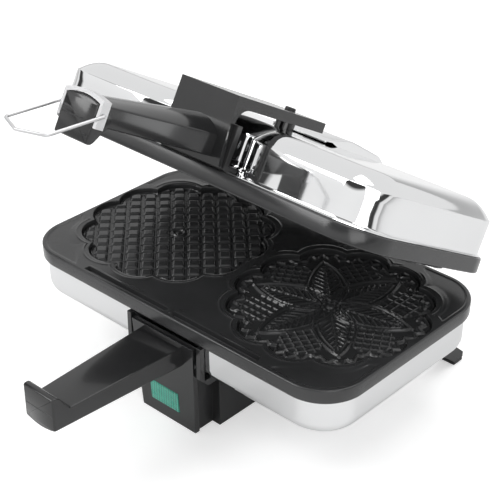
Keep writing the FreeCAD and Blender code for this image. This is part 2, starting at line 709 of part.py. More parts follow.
def rear_leg(hand, name):
    """Raked rear leg screwed under the housing, with a rubber pad on its foot."""
    leg = new_body("rear_leg_" + name)
    top = "plate_band + base_height"
    side = new_sketch(leg, "YZ_Plane", "%s * rear_leg_x" % hand)
    add_polygon(side, [("leg_screw_y - 8", "-(%s)" % top), ("leg_screw_y + 9", "-(%s)" % top),
                       ("rear_foot_y + 5", "-plate_height + pad_height + 4"),
                       ("rear_foot_y + 5", "-plate_height + pad_height"),
                       ("rear_foot_y - 5", "-plate_height + pad_height"),
                       ("leg_screw_y + 2", "-(%s) - 9" % top), ("leg_screw_y - 8", "-(%s) - 9" % top)])
    pad(leg, side, "rear_leg_wide", midplane=True)
    tap = new_sketch(leg, "XY_Plane", "-(%s)" % top)
    add_circle(tap, "%s * rear_leg_x" % hand, "leg_screw_y", "screw_radius + screw_clear")
    pocket(leg, tap, "leg_screw + screw_clear")
    sole = new_body("foot_pad_" + name)
    base = new_sketch(sole, "XY_Plane", "-plate_height")
    add_rectangle(base, "%s * rear_leg_x - rear_leg_wide / 2" % hand, "%s * rear_leg_x + rear_leg_wide / 2" % hand,
                  "rear_foot_y - 5", "rear_foot_y + 5")
    pad(sole, base, "pad_height")


# ---------------------------------------------------------------- handles, lid bracket, bail

def crowned_section(y, half, low, side, crown):
    """Flat-bottomed section with upright sides and an arched top."""
    corners = [Vector(-half, y, low), Vector(-half, y, side), Vector(half, y, side), Vector(half, y, low)]
    arch = Part.Arc(corners[1], Vector(0, y, crown), corners[2]).toShape()
    runs = [Part.LineSegment(corners[0], corners[1]).toShape(), arch,
            Part.LineSegment(corners[2], corners[3]).toShape(), Part.LineSegment(corners[3], corners[0]).toShape()]
    return Part.Wire(runs)


def side_prism(points, half):
    """A YZ polygon carried sideways to both sides of the middle."""
    face = Part.Face(Part.makePolygon([Vector(-half, y, z) for y, z in points + points[:1]]))
    return face.extrude(Vector(2 * half, 0, 0))


def handle_section(y, low, grow=0):
    """The grip's outline at a distance from the centre, grown outwards for parts that wrap it."""
    root, end = -num("bracket_face_y"), -num("handle_end")
    share = (y - end) / (root - end)

    def between(name):
        return num(name) + share * (num(name + "_root") - num(name)) + grow

    return crowned_section(y, between("handle_half"), low, between("handle_side"), between("handle_crown"))


def handle_shape(root, seat):
    """Tapering grip with an arched back, a turned-in lip at its end and a latch groove.
    It starts at root and its screws bite from the seat they pass."""
    end, inner = -num("handle_end"), num("handle_inner")
    half = num("handle_half")
    grip = Part.makeLoft([handle_section(root, inner), handle_section(end, inner)], True, True)
    reach = num("lip_reach")
    lip = side_prism([(end, reach), (end + num("lip_thick"), reach), (end + num("lip_ramp"), inner + 0.2),
                      (end, inner + 0.2)], half)
    groove_depth = num("wire_radius")
    groove = Part.makeBox(4 * half, groove_depth, groove_depth,
                          Vector(-2 * half, end, num("latch_groove") - groove_depth / 2))
    shape = grip.fuse(lip).cut(groove)
    for x in (-num("handle_screw_x"), num("handle_screw_x")):
        depth = num("handle_screw_bite + screw_clear")
        mouth = Vector(x, root + 5, num("handle_screw_z"))
        shape = shape.cut(Part.makeCylinder(num("screw_radius + screw_clear"), mouth.y - seat + depth, mouth,
                                            Vector(0, -1, 0)))
    return shape.removeSplitter()


def handles():
    """The same moulding twice: on the leg, trimmed to its lean, and on the lid bracket."""
    lower = mirrored(handle_shape(-num("leg_face_y - leg_lean"), num(leg_face("handle_screw_z"))), 0)
    behind = [(num(leg_face("0")), 0.0), (0.0, 0.0), (0.0, -num("plate_height")),
              (num(leg_face("plate_height")), -num("plate_height"))]
    shaped("lower_handle", lower.cut(side_prism(behind, num("leg_half_top"))).removeSplitter())
    upper = handle_shape(-num("bracket_face_y"), -num("bracket_face_y"))
    shaped("upper_handle", moved(upper, Vector(0, 0, num("mate_gap"))))


def lid_bracket():
    """Front plate and arm over the lid, the arm's end standing on a boss."""
    body = new_body("upper_bracket")
    arm = new_sketch(body, "YZ_Plane")
    add_polygon(arm, [("-bracket_face_y", "bracket_foot"), ("-bracket_face_y", "bracket_top"),
                      ("arm_back", "bracket_top"), ("arm_back", "bracket_top - arm_thick"),
                      ("-bracket_face_y + bracket_thick", "bracket_top - arm_thick"),
                      ("-bracket_face_y + bracket_thick", "bracket_foot")])
    pad(body, arm, "bracket_half_low * 2", midplane=True)
    taper = new_sketch(body, "XZ_Plane", "bracket_face_y / 2")
    for hand in ("-1", "1"):
        add_polygon(taper, [("%s * bracket_half_low" % hand, "bracket_foot"),
                            ("%s * bracket_half" % hand, "bracket_top - arm_thick - arm_round"),
                            ("%s * bracket_half" % hand, "bracket_top + 1"),
                            ("%s * (bracket_half_low + 5)" % hand, "bracket_top + 1"),
                            ("%s * (bracket_half_low + 5)" % hand, "bracket_foot")])
    pocket(body, taper, "bracket_face_y * 3", midplane=True)
    corner_y = num("-bracket_face_y + bracket_thick")
    corner_z = num("bracket_top - arm_thick")
    fillet(body, "arm_round", lambda edge: abs(edge.BoundBox.YMin - corner_y) < 1e-4
           and abs(edge.BoundBox.YMax - corner_y) < 1e-4 and lies_at(edge, corner_z))
    boss = new_sketch(body, "XY_Plane", "crown_top")
    add_circle(boss, "0", ARM_SCREW_Y, "post_radius + 2")
    pad(body, boss, "bracket_top - arm_thick - crown_top + 1")
    bore = new_sketch(body, "XY_Plane", "crown_top")
    add_circle(bore, "0", ARM_SCREW_Y, "screw_radius + screw_clear")
    pocket(body, bore, "bracket_top * 2", midplane=True)
    holes = new_sketch(body, "XZ_Plane", "bracket_face_y")
    for hand in ("-handle_screw_x", "handle_screw_x"):
        add_circle(holes, hand, "handle_screw_z + mate_gap", "screw_radius + screw_clear")
    pocket(body, holes, "bracket_thick * 4", midplane=True)
    return body


def lid_liner():
    """L-shaped liner that ties the bracket's front plate to the lid's flange."""
    body = new_body("bracket_liner")
    floor = "mate_gap + plate_band + sheet"
    front = "-bracket_face_y + bracket_thick"
    side = new_sketch(body, "YZ_Plane")
    add_polygon(side, [(front, floor), ("-liner_screw_y + screw_head + 0.6", floor),
                       ("-liner_screw_y + screw_head + 0.6", "%s + liner_foot" % floor),
                       ("%s + liner_thick" % front, "%s + liner_foot" % floor),
                       ("%s + liner_thick" % front, "bracket_top - arm_thick - arm_round"),
                       (front, "bracket_top - arm_thick - arm_round")])
    pad(body, side, "bracket_half_low * 2 + 2", midplane=True)
    holes = new_sketch(body, "XZ_Plane", "bracket_face_y")
    for hand in ("-handle_screw_x", "handle_screw_x"):
        add_circle(holes, hand, "handle_screw_z + mate_gap", "screw_radius + screw_clear")
    pocket(body, holes, "bracket_thick * 6", midplane=True)
    taps = new_sketch(body, "XY_Plane", floor)
    for hand in ("-foot_screw_x", "foot_screw_x"):
        add_circle(taps, hand, "-liner_screw_y", "screw_radius + screw_clear")
    pocket(body, taps, "liner_foot * 3", midplane=True)
    return body


def bail_and_saddle():
    """Saddle over the upper handle's end with two ears, and the wire bail that turns in them."""
    gap, ear = num("seat_gap"), num("ear_thick")
    lift = num("mate_gap")
    front = -num("handle_end") + 0.8
    back = front + num("saddle_length")
    half = num("handle_half") + gap + ear
    low = num("bail_pivot_z") - 8
    shell = Part.Face(handle_section(front, low, gap + ear)).extrude(Vector(0, back - front, 0))
    hollow_part = Part.makeLoft([handle_section(front - 1, low - 1, gap),
                                 handle_section(back + 1, low - 1, gap)], True, True)
    pivot = Vector(0, -num("bail_pivot_y"), num("bail_pivot_z"))
    bore = Part.makeCylinder(num("wire_radius + wire_clear"), 4 * half, pivot - Vector(2 * half, 0, 0), Vector(1, 0, 0))
    saddle = shell.cut(hollow_part).cut(bore)
    shaped("bail_saddle", moved(saddle.removeSplitter(), Vector(0, 0, lift)))

    angle = math.radians(num("bail_drop"))
    forward = Vector(0, -math.cos(angle), -math.sin(angle))
    out = Vector(num("bail_half"), 0, 0)
    hook = Vector(half - ear + gap, 0, 0)
    shoulder = forward * num("bail_arm")
    tip = forward * num("bail_arm + bail_point")
    pivot += Vector(0, 0, lift)
    points = [pivot - hook, pivot - out, pivot - out + shoulder, pivot + tip,
              pivot + out + shoulder, pivot + out, pivot + hook]
    shaped("latch_bail", rod(bent_path(points, [1.3, 3.5, 3.0, 3.5, 1.3]), num("wire_radius")))


# ---------------------------------------------------------------- heaters and inner parts

def heater(label, upper):
    """Sheathed rod bent into a loop against the plate's back, with a terminal pin at each end."""
    radius = num("heater_radius")
    level = num("mate_gap + plate_web") + radius if upper else -num("recess_depth + plate_web") - radius
    wide, deep, neck = num("heater_x"), num("heater_y"), 14.0
    end = deep + 15
    corners = [(-neck, end), (-neck, deep), (-wide, deep), (-wide, -deep),
               (wide, -deep), (wide, deep), (neck, deep), (neck, end)]
    bend = num("heater_bend")
    path = bent_path([Vector(x, y, level) for x, y in corners], [9.0, bend, bend, bend, bend, 9.0])
    solids = [rod(path, radius)]
    for x in (-neck, neck):
        solids.append(Part.makeCylinder(radius * 0.4, 8, Vector(x, end, level), Vector(0, 1, 0)))
    return shaped(label, Part.makeCompound(solids))


def heat_shield(label, upper):
    """Flat reflector on four short legs that stand on the plate's back."""
    body = new_body(label)
    level = "mate_gap + plate_band + shield_level" if upper else "-plate_band - shield_level"
    web = "mate_gap + plate_web" if upper else "-recess_depth - plate_web"
    flat = new_sketch(body, "XY_Plane", level)
    add_rectangle(flat, "-heater_x - 12", "heater_x + 12", "-heater_y + 10", "heater_y - 10")
    if upper:
        add_circle(flat, "0", ARM_SCREW_Y, "post_radius + 1.5")
    pad(body, flat, "shield_sheet", reverse=not upper)
    legs = new_sketch(body, "XY_Plane", level)
    for x in ("-heater_x + 24", "heater_x - 24"):
        for y in ("-heater_y + 16", "heater_y - 16"):
            add_circle(legs, x, y, "2")
    pad(body, legs, "abs(%s - (%s))" % (level, web), reverse=upper)
    return body


def controls():
    """Thermostat, thermal fuse, terminal block and cord inlet bush of the base."""
    web = "-recess_depth - plate_web"
    floor = "-plate_band - base_height + sheet"
    thermostat = new_body("thermostat")
    disc = new_sketch(thermostat, "XY_Plane", web)
    add_circle(disc, "0", "14", "8")
    pad(thermostat, disc, "5", reverse=True)
    cap = new_sketch(thermostat, "XY_Plane", web)
    add_circle(cap, "0", "14", "6")
    pad(thermostat, cap, "9", reverse=True)
    fuse = new_body("thermal_fuse")
    tube = new_sketch(fuse, "YZ_Plane", "-30")
    add_circle(tube, "14", "%s - 2.2" % web, "2.2")
    pad(fuse, tube, "14", midplane=True)
    block = new_body("terminal_block")
    base = new_sketch(block, "XY_Plane", floor)
    add_rectangle(base, "gland_x - 13", "gland_x + 13", "heater_y + 8", "heater_y + 20")
    pad(block, base, "9")
    bush = new_body("cord_inlet")
    wall = "plate_depth / 2 - housing_inset"
    flange = new_sketch(bush, "XZ_Plane", "-(%s)" % wall)
    add_circle(flange, "gland_x", "-gland_z", "gland_neck + 2.8")
    pad(bush, flange, "3", reverse=True)
    neck = new_sketch(bush, "XZ_Plane", "-(%s)" % wall)
    add_circle(neck, "gland_x", "-gland_z", "gland_neck")
    pad(bush, neck, "6")
    bore = new_sketch(bush, "XZ_Plane", "-(%s)" % wall)
    add_circle(bore, "gland_x", "-gland_z", "gland_bore")
    pocket(bush, bore, "40", midplane=True)


# ---------------------------------------------------------------- hinge

def lug_pair(body, inner_face, outline):
    """Two hinge lugs with round ends on the pin."""
    for start in (inner_face, "-(%s) - lug_thick" % inner_face):
        plate = new_sketch(body, "YZ_Plane", start)
        add_polygon(plate, outline)
        pad(body, plate, "lug_thick")
        nose = new_sketch(body, "YZ_Plane", start)
        add_circle(nose, "hinge_y", "hinge_z", "lug_round")
        pad(body, nose, "lug_thick")
    bore = new_sketch(body, "YZ_Plane")
    add_circle(bore, "hinge_y", "hinge_z", "pin_radius + pin_clear")
    pocket(body, bore, "lug_x * 4", midplane=True)


def on_lug(angle):
    return ("hinge_y + lug_round * cos(%d deg)" % angle, "hinge_z + lug_round * sin(%d deg)" % angle)


def hinge():
    """Base bracket on the housing's rear wall, lid bracket on the flange, pin and hood."""
    half = "lug_x + lug_thick * 2 + lug_gap"
    wall = "plate_depth / 2 - housing_inset"
    lower = new_body("lower_hinge_bracket")
    back = new_sketch(lower, "XZ_Plane", "-(%s)" % wall)
    add_rectangle(back, "-(%s)" % half, half, "-plate_band - base_height + base_round * 0.3", "-plate_band - 2")
    pad(lower, back, "bracket_sheet", reverse=True)
    holes = new_sketch(lower, "XZ_Plane", "-(%s)" % wall)
    for side in ("-foot_screw_x", "foot_screw_x"):
        add_circle(holes, side, "-bracket_screw_z", "screw_radius + screw_clear")
    pocket(lower, holes, "bracket_sheet * 4", midplane=True)
    lug_pair(lower, "lug_x", [("%s + bracket_sheet / 2" % wall, "-plate_band - base_height + base_round * 0.3"),
                              ("%s + bracket_sheet / 2" % wall, "-plate_band - 2"),
                              ("plate_depth / 2 + 1", "-plate_band - 2"), on_lug(135), on_lug(-45)])

    floor = "mate_gap + plate_band + sheet"
    upper = new_body("upper_hinge_bracket")
    foot = new_sketch(upper, "XY_Plane", floor)
    add_rectangle(foot, "-(%s)" % half, half, "hinge_screw_y - 4.2", "plate_depth / 2 - 0.6")
    pad(upper, foot, "bracket_sheet")
    taps = new_sketch(upper, "XY_Plane", floor)
    for side in ("-foot_screw_x", "foot_screw_x"):
        add_circle(taps, side, "hinge_screw_y", "screw_radius + screw_clear")
    pocket(upper, taps, "bracket_sheet * 4", midplane=True)
    lug_pair(upper, "lug_x + lug_thick + lug_gap",
             [("hinge_screw_y - 3", floor), ("plate_depth / 2", floor), on_lug(210), on_lug(75),
              ("plate_depth / 2", "%s + bracket_sheet + 6" % floor),
              ("hinge_screw_y - 3", "%s + bracket_sheet + 2" % floor)])

    pin = new_body("hinge_pin")
    round_end = new_sketch(pin, "YZ_Plane")
    add_circle(round_end, "hinge_y", "hinge_z", "pin_radius")
    pad(pin, round_end, "(%s) * 2 + 4" % half, midplane=True)

    skin = num("sheet")
    seat = num("%s + bracket_sheet + screw_head * 0.6 + seat_gap" % floor)
    crown = num("crown_top")
    behind = num("hinge_y + 7")
    profile = [(15.0, crown + 0.3), (24.0, crown + 0.7), (58.0, crown - 8.3), (58.0, seat), (behind, seat),
               (behind, seat + 8), (behind - 4, crown - 9), (num("plate_depth / 2 + 5"), crown + 2),
               (45.0, crown + 6.5), (21.0, crown + 3.5)]
    outer = side_prism(profile, num("hood_half"))
    room = Part.Face(Part.makePolygon([Vector(0, y, z) for y, z in profile + profile[:1]])).makeOffset2D(-skin)
    room.translate(Vector(skin - num("hood_half"), 0, 0))
    inside = room.extrude(Vector(2 * (num("hood_half") - skin), 0, 0))
    shaped("hinge_hood", outer.cut(inside))


# ---------------------------------------------------------------- fasteners

def fasteners():
    """Every group of like screws is one piece made of separate solids."""
    up, down, ahead = Vector(0, 0, 1), Vector(0, 0, -1), Vector(0, -1, 0)
    under = num("-plate_band - base_height")
    inside = num("-plate_band - base_height + sheet")
    flange = num("mate_gap + plate_band + sheet")

    def group(label, places, heading, length):
        screws = [screw(head_face + heading * length, heading, length) for head_face in places]
        shaped(label, Part.makeCompound(screws))

    group("plate_screws", [Vector(num(x), num(y), under) for x, y in post_places()], up, num("post_screw + sheet"))
    group("front_foot_screws", [Vector(num(x), num(y), inside) for x, y in box_screw_places()], down, num("post_screw"))
    group("rear_leg_screws", [Vector(num(x), num(y), inside) for x, y in leg_screw_places()], down,
          num("leg_screw + sheet"))
    sides = (-num("foot_screw_x"), num("foot_screw_x"))
    group("liner_screws", [Vector(x, -num("liner_screw_y"), flange + num("liner_foot")) for x in sides], down,
          num("lid_screw"))
    group("lid_hinge_screws", [Vector(x, num("hinge_screw_y"), flange + num("bracket_sheet")) for x in sides], down,
          num("lid_screw"))
    rear = num("plate_depth / 2 - housing_inset + bracket_sheet")
    group("base_hinge_screws", [Vector(x, rear, -num("bracket_screw_z")) for x in sides], ahead, num("lid_screw"))
    grips = (-num("handle_screw_x"), num("handle_screw_x"))
    wall = num("-plate_depth / 2 + housing_inset + sheet")
    face = num(leg_face("handle_screw_z"))
    group("lower_handle_screws", [Vector(x, wall, -num("handle_screw_z")) for x in grips], ahead,
          wall - face + num("handle_screw_bite"))
    back = num("-bracket_face_y + bracket_thick + liner_thick")
    group("upper_handle_screws", [Vector(x, back, num("handle_screw_z + mate_gap")) for x in grips], ahead,
          num("bracket_thick + liner_thick + handle_screw_bite"))
    group("arm_screws", [Vector(0, num(ARM_SCREW_Y), num("bracket_top"))], down, num("arm_screw"))


# ---------------------------------------------------------------- assembly

LID = {"upper_grid_plate", "upper_housing", "upper_bracket", "bracket_liner", "upper_handle", "bail_saddle",
       "latch_bail", "upper_heater", "upper_heat_shield", "upper_hinge_bracket", "hinge_hood",
       "liner_screws", "lid_hinge_screws", "upper_handle_screws", "arm_screws"}


def stand_place():
    """Moves the working frame onto the table, origin under the middle of the front foot."""
    return Placement(Vector(0, num("(box_front + box_back) / 2"), num("plate_height")), Rotation())


def lid_place():
    """The same, after opening the lid about the hinge pin."""
    pivot = Vector(0, num("hinge_y"), num("hinge_z"))
    swing = Placement(Vector(), Rotation(Vector(1, 0, 0), -num("lid_open")), pivot)
    return stand_place().multiply(swing)


def build():
    grid_plate("lower_grid_plate", upper=False)
    grid_plate("upper_grid_plate", upper=True)
    base_housing()
    lid_housing()
    front_leg()
    indicator()
    leg_collar()
    foot_box()
    rear_leg("-1", "left")
    rear_leg("1", "right")
    handles()
    lid_bracket()
    lid_liner()
    bail_and_saddle()
    heater("lower_heater", upper=False)
    heater("upper_heater", upper=True)
    heat_shield("lower_heat_shield", upper=False)
    heat_shield("upper_heat_shield", upper=True)
    controls()
    hinge()
    fasteners()
    for item in SUBPARTS:
        item.Placement = lid_place() if item.Label in LID else stand_place()
    doc.recompute()


def check_and_write():
    """Stops on any failed object or bad shape, then writes one STEP file per sub-part."""
    for item in doc.Objects:
        if any(word in ("Invalid", "Error") for word in item.State):
            raise RuntimeError("%s failed: %s" % (item.Name, item.State))
    for item in SUBPARTS:
        if item.Shape.isNull() or not item.Shape.isValid():
            raise RuntimeError(item.Label + " has no valid shape")
    os.makedirs("parts", exist_ok=True)
    for item in SUBPARTS:
        item.Shape.exportStep(os.path.join("parts", item.Label + ".step"))
        print("%-22s solids %d  volume %.1f" % (item.Label, len(item.Shape.Solids), item.Shape.Volume))


build()
check_and_write()
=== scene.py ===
import json
import math

import bmesh
import bpy
import numpy as np
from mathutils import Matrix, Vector


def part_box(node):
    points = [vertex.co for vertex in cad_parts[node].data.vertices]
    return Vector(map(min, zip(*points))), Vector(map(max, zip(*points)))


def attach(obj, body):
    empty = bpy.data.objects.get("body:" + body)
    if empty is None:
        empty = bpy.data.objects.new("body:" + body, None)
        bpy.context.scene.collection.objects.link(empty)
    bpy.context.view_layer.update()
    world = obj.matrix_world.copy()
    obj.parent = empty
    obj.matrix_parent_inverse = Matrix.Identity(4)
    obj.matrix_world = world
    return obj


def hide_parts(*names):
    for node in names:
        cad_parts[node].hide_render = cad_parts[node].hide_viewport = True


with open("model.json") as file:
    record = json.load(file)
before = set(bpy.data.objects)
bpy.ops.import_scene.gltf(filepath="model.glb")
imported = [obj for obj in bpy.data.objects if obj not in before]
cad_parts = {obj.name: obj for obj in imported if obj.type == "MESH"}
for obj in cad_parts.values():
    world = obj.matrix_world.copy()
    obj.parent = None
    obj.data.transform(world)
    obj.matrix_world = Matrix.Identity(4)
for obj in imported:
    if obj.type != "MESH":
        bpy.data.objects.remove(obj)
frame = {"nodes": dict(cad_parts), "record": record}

bl_info = {
    "name": "Two-cookie pizzelle iron",
    "version": (1, 0, 0),
    "blender": (4, 5, 0),
    "location": "View3D > Sidebar > Iron",
    "description": "Visual model of a hinged pizzelle iron around its packed frame",
    "category": "Object",
}

MM = 0.001
JOINTS = {joint["name"]: joint for joint in frame["record"]["behaviour"]["joints"]}
HINGE = np.array(JOINTS["lid_hinge"]["pos_m"])
OPEN = math.radians(-JOINTS["lid_hinge"]["range_deg"][0])
PLATE_LOW, PLATE_HIGH = (np.array(corner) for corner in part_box("lower_grid_plate"))
PLATE_ORIGIN = np.array([0.0, (PLATE_LOW[1] + PLATE_HIGH[1]) / 2, PLATE_HIGH[2]])
HALF_WIDE, HALF_DEEP = (PLATE_HIGH[:2] - PLATE_LOW[:2]) / 2 / MM
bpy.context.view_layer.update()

PLATE_CORNER = 30.0
BAND = 10.0
MATE_GAP = 0.4
BED_X, BED_Y = 68.5, 2.0
LOBE_RING, LOBE_RADIUS = 48.0, 19.0
LOBES = 12
LID_DISC_CLEAR = 1.0
BED_DEPTH = 3.6
LINE_HEIGHT = 0.34
GROOVE_DEPTH = 3.0
GROOVE_END = 76.0
BERM_HEIGHT = 0.3
POCKET_DEPTH = 0.6
SKIN_INSET = 3.5
TRAY_HEIGHT = 26.5
CROWN = 43.5
CREASE = 34.4


# ------------------------------------------------------------ settings

class IronSettings(bpy.types.PropertyGroup):
    """Sizes and colours a user would change."""
    lattice_pitch: bpy.props.FloatProperty(
        name="Lattice pitch", description="Distance between the pads of the lattice bed",
        default=10.4 * MM, min=0.004, max=0.03, unit="LENGTH")
    relief_height: bpy.props.FloatProperty(
        name="Relief height", description="Height of the pads and petals above the bed",
        default=1.7 * MM, min=0.0, max=0.0018, unit="LENGTH")
    petal_length: bpy.props.FloatProperty(
        name="Petal length", description="Length of a flower petal from the middle of its bed",
        default=54 * MM, min=0.03, max=0.058, unit="LENGTH")
    wire_radius: bpy.props.FloatProperty(
        name="Wire radius", description="Radius of the latch wire",
        default=1.0 * MM, min=0.0005, max=0.00105, unit="LENGTH")
    coating: bpy.props.FloatVectorProperty(
        name="Plate coating", description="Colour of the non-stick coating",
        default=(0.034, 0.0345, 0.0355), subtype="COLOR", size=3, min=0, max=1)
    moulding: bpy.props.FloatVectorProperty(
        name="Handle plastic", description="Colour of the handles, bracket and leg",
        default=(0.016, 0.0162, 0.0168), subtype="COLOR", size=3, min=0, max=1)
    plating: bpy.props.FloatVectorProperty(
        name="Chrome", description="Tint of the chrome skins",
        default=(0.84, 0.845, 0.85), subtype="COLOR", size=3, min=0, max=1)
    lens: bpy.props.FloatVectorProperty(
        name="Indicator lens", description="Colour of the indicator lens",
        default=(0.045, 0.36, 0.26), subtype="COLOR", size=3, min=0, max=1)
    floor: bpy.props.FloatVectorProperty(
        name="Floor", description="Colour of the floor",
        default=(0.86, 0.86, 0.86), subtype="COLOR", size=3, min=0, max=1)


def settings():
    return bpy.context.scene.iron_settings


# ------------------------------------------------------------ surfaces

def seat(points, lid=False):
    """Millimetres about the middle of the lower plate's face, to metres in the row frame.
    Lid points are given with the lid shut and are then turned open about the hinge."""
    placed = np.asarray(points, dtype=float) * MM + PLATE_ORIGIN
    if lid:
        across, along = placed[..., 1] - HINGE[1], placed[..., 2] - HINGE[2]
        placed = placed.copy()
        placed[..., 1] = HINGE[1] + across * math.cos(OPEN) + along * math.sin(OPEN)
        placed[..., 2] = HINGE[2] - across * math.sin(OPEN) + along * math.cos(OPEN)
    return placed


def grid_faces(rows, columns, wrap=False, start=0, flip=False):
    """Quads of a grid of rows by columns; wrap joins the last column to the first."""
    row = np.arange(rows - 1)[:, None] * columns
    column = np.arange(columns if wrap else columns - 1)[None, :]
    following = (column + 1) % columns
    quads = np.stack([row + column, row + following, row + columns + following, row + columns + column], -1)
    quads = quads.reshape(-1, 4) + start
    return quads[:, ::-1] if flip else quads


class Shell:
    """Collects grids and caps of one piece, then makes its mesh."""

    def __init__(self):
        self.points, self.faces, self.count = [], [], 0

    def grid(self, block, wrap=False, flip=False):
        block = np.asarray(block, dtype=float)
        rows, columns = block.shape[:2]
        self.faces += grid_faces(rows, columns, wrap, self.count, flip).tolist()
        self.points.append(block.reshape(-1, 3))
        self.count += rows * columns
        return self

    def cap(self, ring, flip=False):
        ring = np.asarray(ring, dtype=float)
        order = list(range(self.count, self.count + len(ring)))
        self.faces.append(order[::-1] if flip else order)
        self.points.append(ring)
        self.count += len(ring)
        return self

    def make(self, name, body, material, lid=False, replaces=(), outward=True, sharp=35.0):
        mesh = bpy.data.meshes.new(name)
        mesh.from_pydata(seat(np.concatenate(self.points), lid).tolist(), [], self.faces)
        work = bmesh.new()
        work.from_mesh(mesh)
        bmesh.ops.remove_doubles(work, verts=work.verts, dist=2e-6)
        bmesh.ops.dissolve_degenerate(work, edges=work.edges, dist=1e-7)
        if outward:
            bmesh.ops.recalc_face_normals(work, faces=work.faces)
        work.to_mesh(mesh)
        work.free()
        return finish_piece(name, mesh, body, material, replaces, sharp)


def finish_piece(name, mesh, body, material, replaces=(), sharp=35.0):
    """Smooth shading with sharp edges past an angle, a material, and the body it moves with."""
    mesh.shade_smooth()
    mesh.set_sharp_from_angle(angle=math.radians(sharp))
    mesh.materials.append(material)
    piece = bpy.data.objects.new(name, mesh)
    bpy.context.scene.collection.objects.link(piece)
    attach(piece, body)
    if replaces:
        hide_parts(*replaces)
    return piece


def rounded_rectangle(half_x, half_y, corner, steps=24):
    """Anticlockwise outline: four corner arcs joined by the straight sides."""
    turn = np.linspace(0, math.pi / 2, steps)
    arcs = []
    for quarter, (side, end) in enumerate(((1, 1), (-1, 1), (-1, -1), (1, -1))):
        angle = turn + quarter * math.pi / 2
        arcs.append(np.stack([side * (half_x - corner) + corner * np.cos(angle),
                              end * (half_y - corner) + corner * np.sin(angle)], -1))
    return np.concatenate(arcs)


def plate_outline(inset, steps=24):
    return rounded_rectangle(HALF_WIDE - inset, HALF_DEEP - inset, PLATE_CORNER - inset, steps)


def levelled(outline, height):
    return np.column_stack([outline, np.full(len(outline), height)])


def rounded_polygon(corners, radii, steps=6):
    """A closed outline through the corners, each turned on an arc tangent to both sides."""
    corners = np.asarray(corners, dtype=float)
    radii = np.broadcast_to(np.asarray(radii, dtype=float), len(corners))
    outline = []
    for here, radius in enumerate(radii):
        corner = corners[here]
        before = corners[here - 1] - corner
        after = corners[(here + 1) % len(corners)] - corner
        reach = min(np.linalg.norm(before), np.linalg.norm(after)) * 0.48
        before, after = before / np.linalg.norm(before), after / np.linalg.norm(after)
        half = math.acos(np.clip(before @ after, -1, 1)) / 2
        if radius < 1e-6 or half > math.pi / 2 - 1e-3:
            outline.append(corner[None])
            continue
        setback = min(radius / math.tan(half), reach)
        bend = setback * math.tan(half)
        middle = (before + after) / np.linalg.norm(before + after)
        centre = corner + middle * bend / math.sin(half)
        start, stop = corner + before * setback - centre, corner + after * setback - centre
        sweep = math.atan2(start[0] * stop[1] - start[1] * stop[0], start @ stop)
        angle = math.atan2(start[1], start[0]) + np.linspace(0, sweep, steps)
        outline.append(centre + bend * np.stack([np.cos(angle), np.sin(angle)], -1))
    return np.concatenate(outline)


def inset_outline(outline, distance):
    """Moves each vertex inwards along the bisector of its two sides by a distance from both."""
    ahead = np.roll(outline, -1, 0) - outline
    ahead /= np.maximum(np.linalg.norm(ahead, axis=1, keepdims=True), 1e-9)
    normal = np.stack([-ahead[:, 1], ahead[:, 0]], -1)
    bisector = normal + np.roll(normal, 1, 0)
    scale = 2 / np.maximum((bisector ** 2).sum(1, keepdims=True), 0.4)
    area = np.sum(outline[:, 0] * np.roll(outline[:, 1], -1) - outline[:, 1] * np.roll(outline[:, 0], -1))
    return outline + np.sign(area) * bisector * scale * distance


def prism(outline, low, high, edge, to_space, steps=4):
    """An outline carried from low to high, its rims rounded on a quarter circle of radius edge.
    to_space turns (across, up, level) arrays into points."""
    shell = Shell()
    turn = np.linspace(0, math.pi / 2, steps)
    levels = [(edge * (1 - math.sin(angle)), low + edge * (1 - math.cos(angle))) for angle in turn]
    levels += [(edge * (1 - math.sin(angle)), high - edge * (1 - math.cos(angle))) for angle in turn[::-1]]
    rings = []
    for inset, level in levels:
        ring = inset_outline(outline, inset)
        rings.append(to_space(ring[:, 0], ring[:, 1], np.full(len(ring), level)))
    shell.grid(np.stack(rings), wrap=True)
    shell.cap(rings[0], flip=True)
    shell.cap(rings[-1])
    return shell


def side_space(across, up, level):
    """Outline drawn in the YZ plane, carried along X."""
    return np.stack([level, across, up], -1)


def front_space(across, up, level):
    """Outline drawn in the XZ plane, carried along Y."""
    return np.stack([across, level, up], -1)


def smooth_path(points, radii, steps=10):
    """Straight runs with each inner corner turned on an arc."""
    points = np.asarray(points, dtype=float)
    path = [points[0]]
    for here in range(1, len(points) - 1):
        corner = points[here]
        before, after = points[here - 1] - corner, points[here + 1] - corner
        before, after = before / np.linalg.norm(before), after / np.linalg.norm(after)
        half = math.acos(np.clip(before @ after, -1, 1)) / 2
        setback = radii[here - 1] / math.tan(half)
        middle = (before + after) / np.linalg.norm(before + after)
        centre = corner + middle * radii[here - 1] / math.sin(half)
        start, stop = corner + before * setback - centre, corner + after * setback - centre
        span = math.pi - 2 * half
        share = np.linspace(0, 1, steps)[:, None]
        turned = np.sin((1 - share) * span) * start + np.sin(share * span) * stop
        path += list(centre + turned / math.sin(span))
    path.append(points[-1])
    return np.array(path)


def tube(path, radius, sides=20):
    """A circle carried along a path, each ring square to the path and turned as little as possible."""
    ahead = np.gradient(path, axis=0)
    ahead /= np.linalg.norm(ahead, axis=1, keepdims=True)
    normal = np.cross(ahead[0], [0.3, 0.5, 0.81])
    rings = []
    angle = np.linspace(0, 2 * math.pi, sides, endpoint=False)[:, None]
    for place, heading in zip(path, ahead):
        normal = normal - heading * (normal @ heading)
        normal /= np.linalg.norm(normal)
        beside = np.cross(heading, normal)
        rings.append(place + radius * (np.cos(angle) * normal + np.sin(angle) * beside))
    return Shell().grid(np.stack(rings), wrap=True).cap(rings[0], flip=True).cap(rings[-1])


# ------------------------------------------------------------ materials

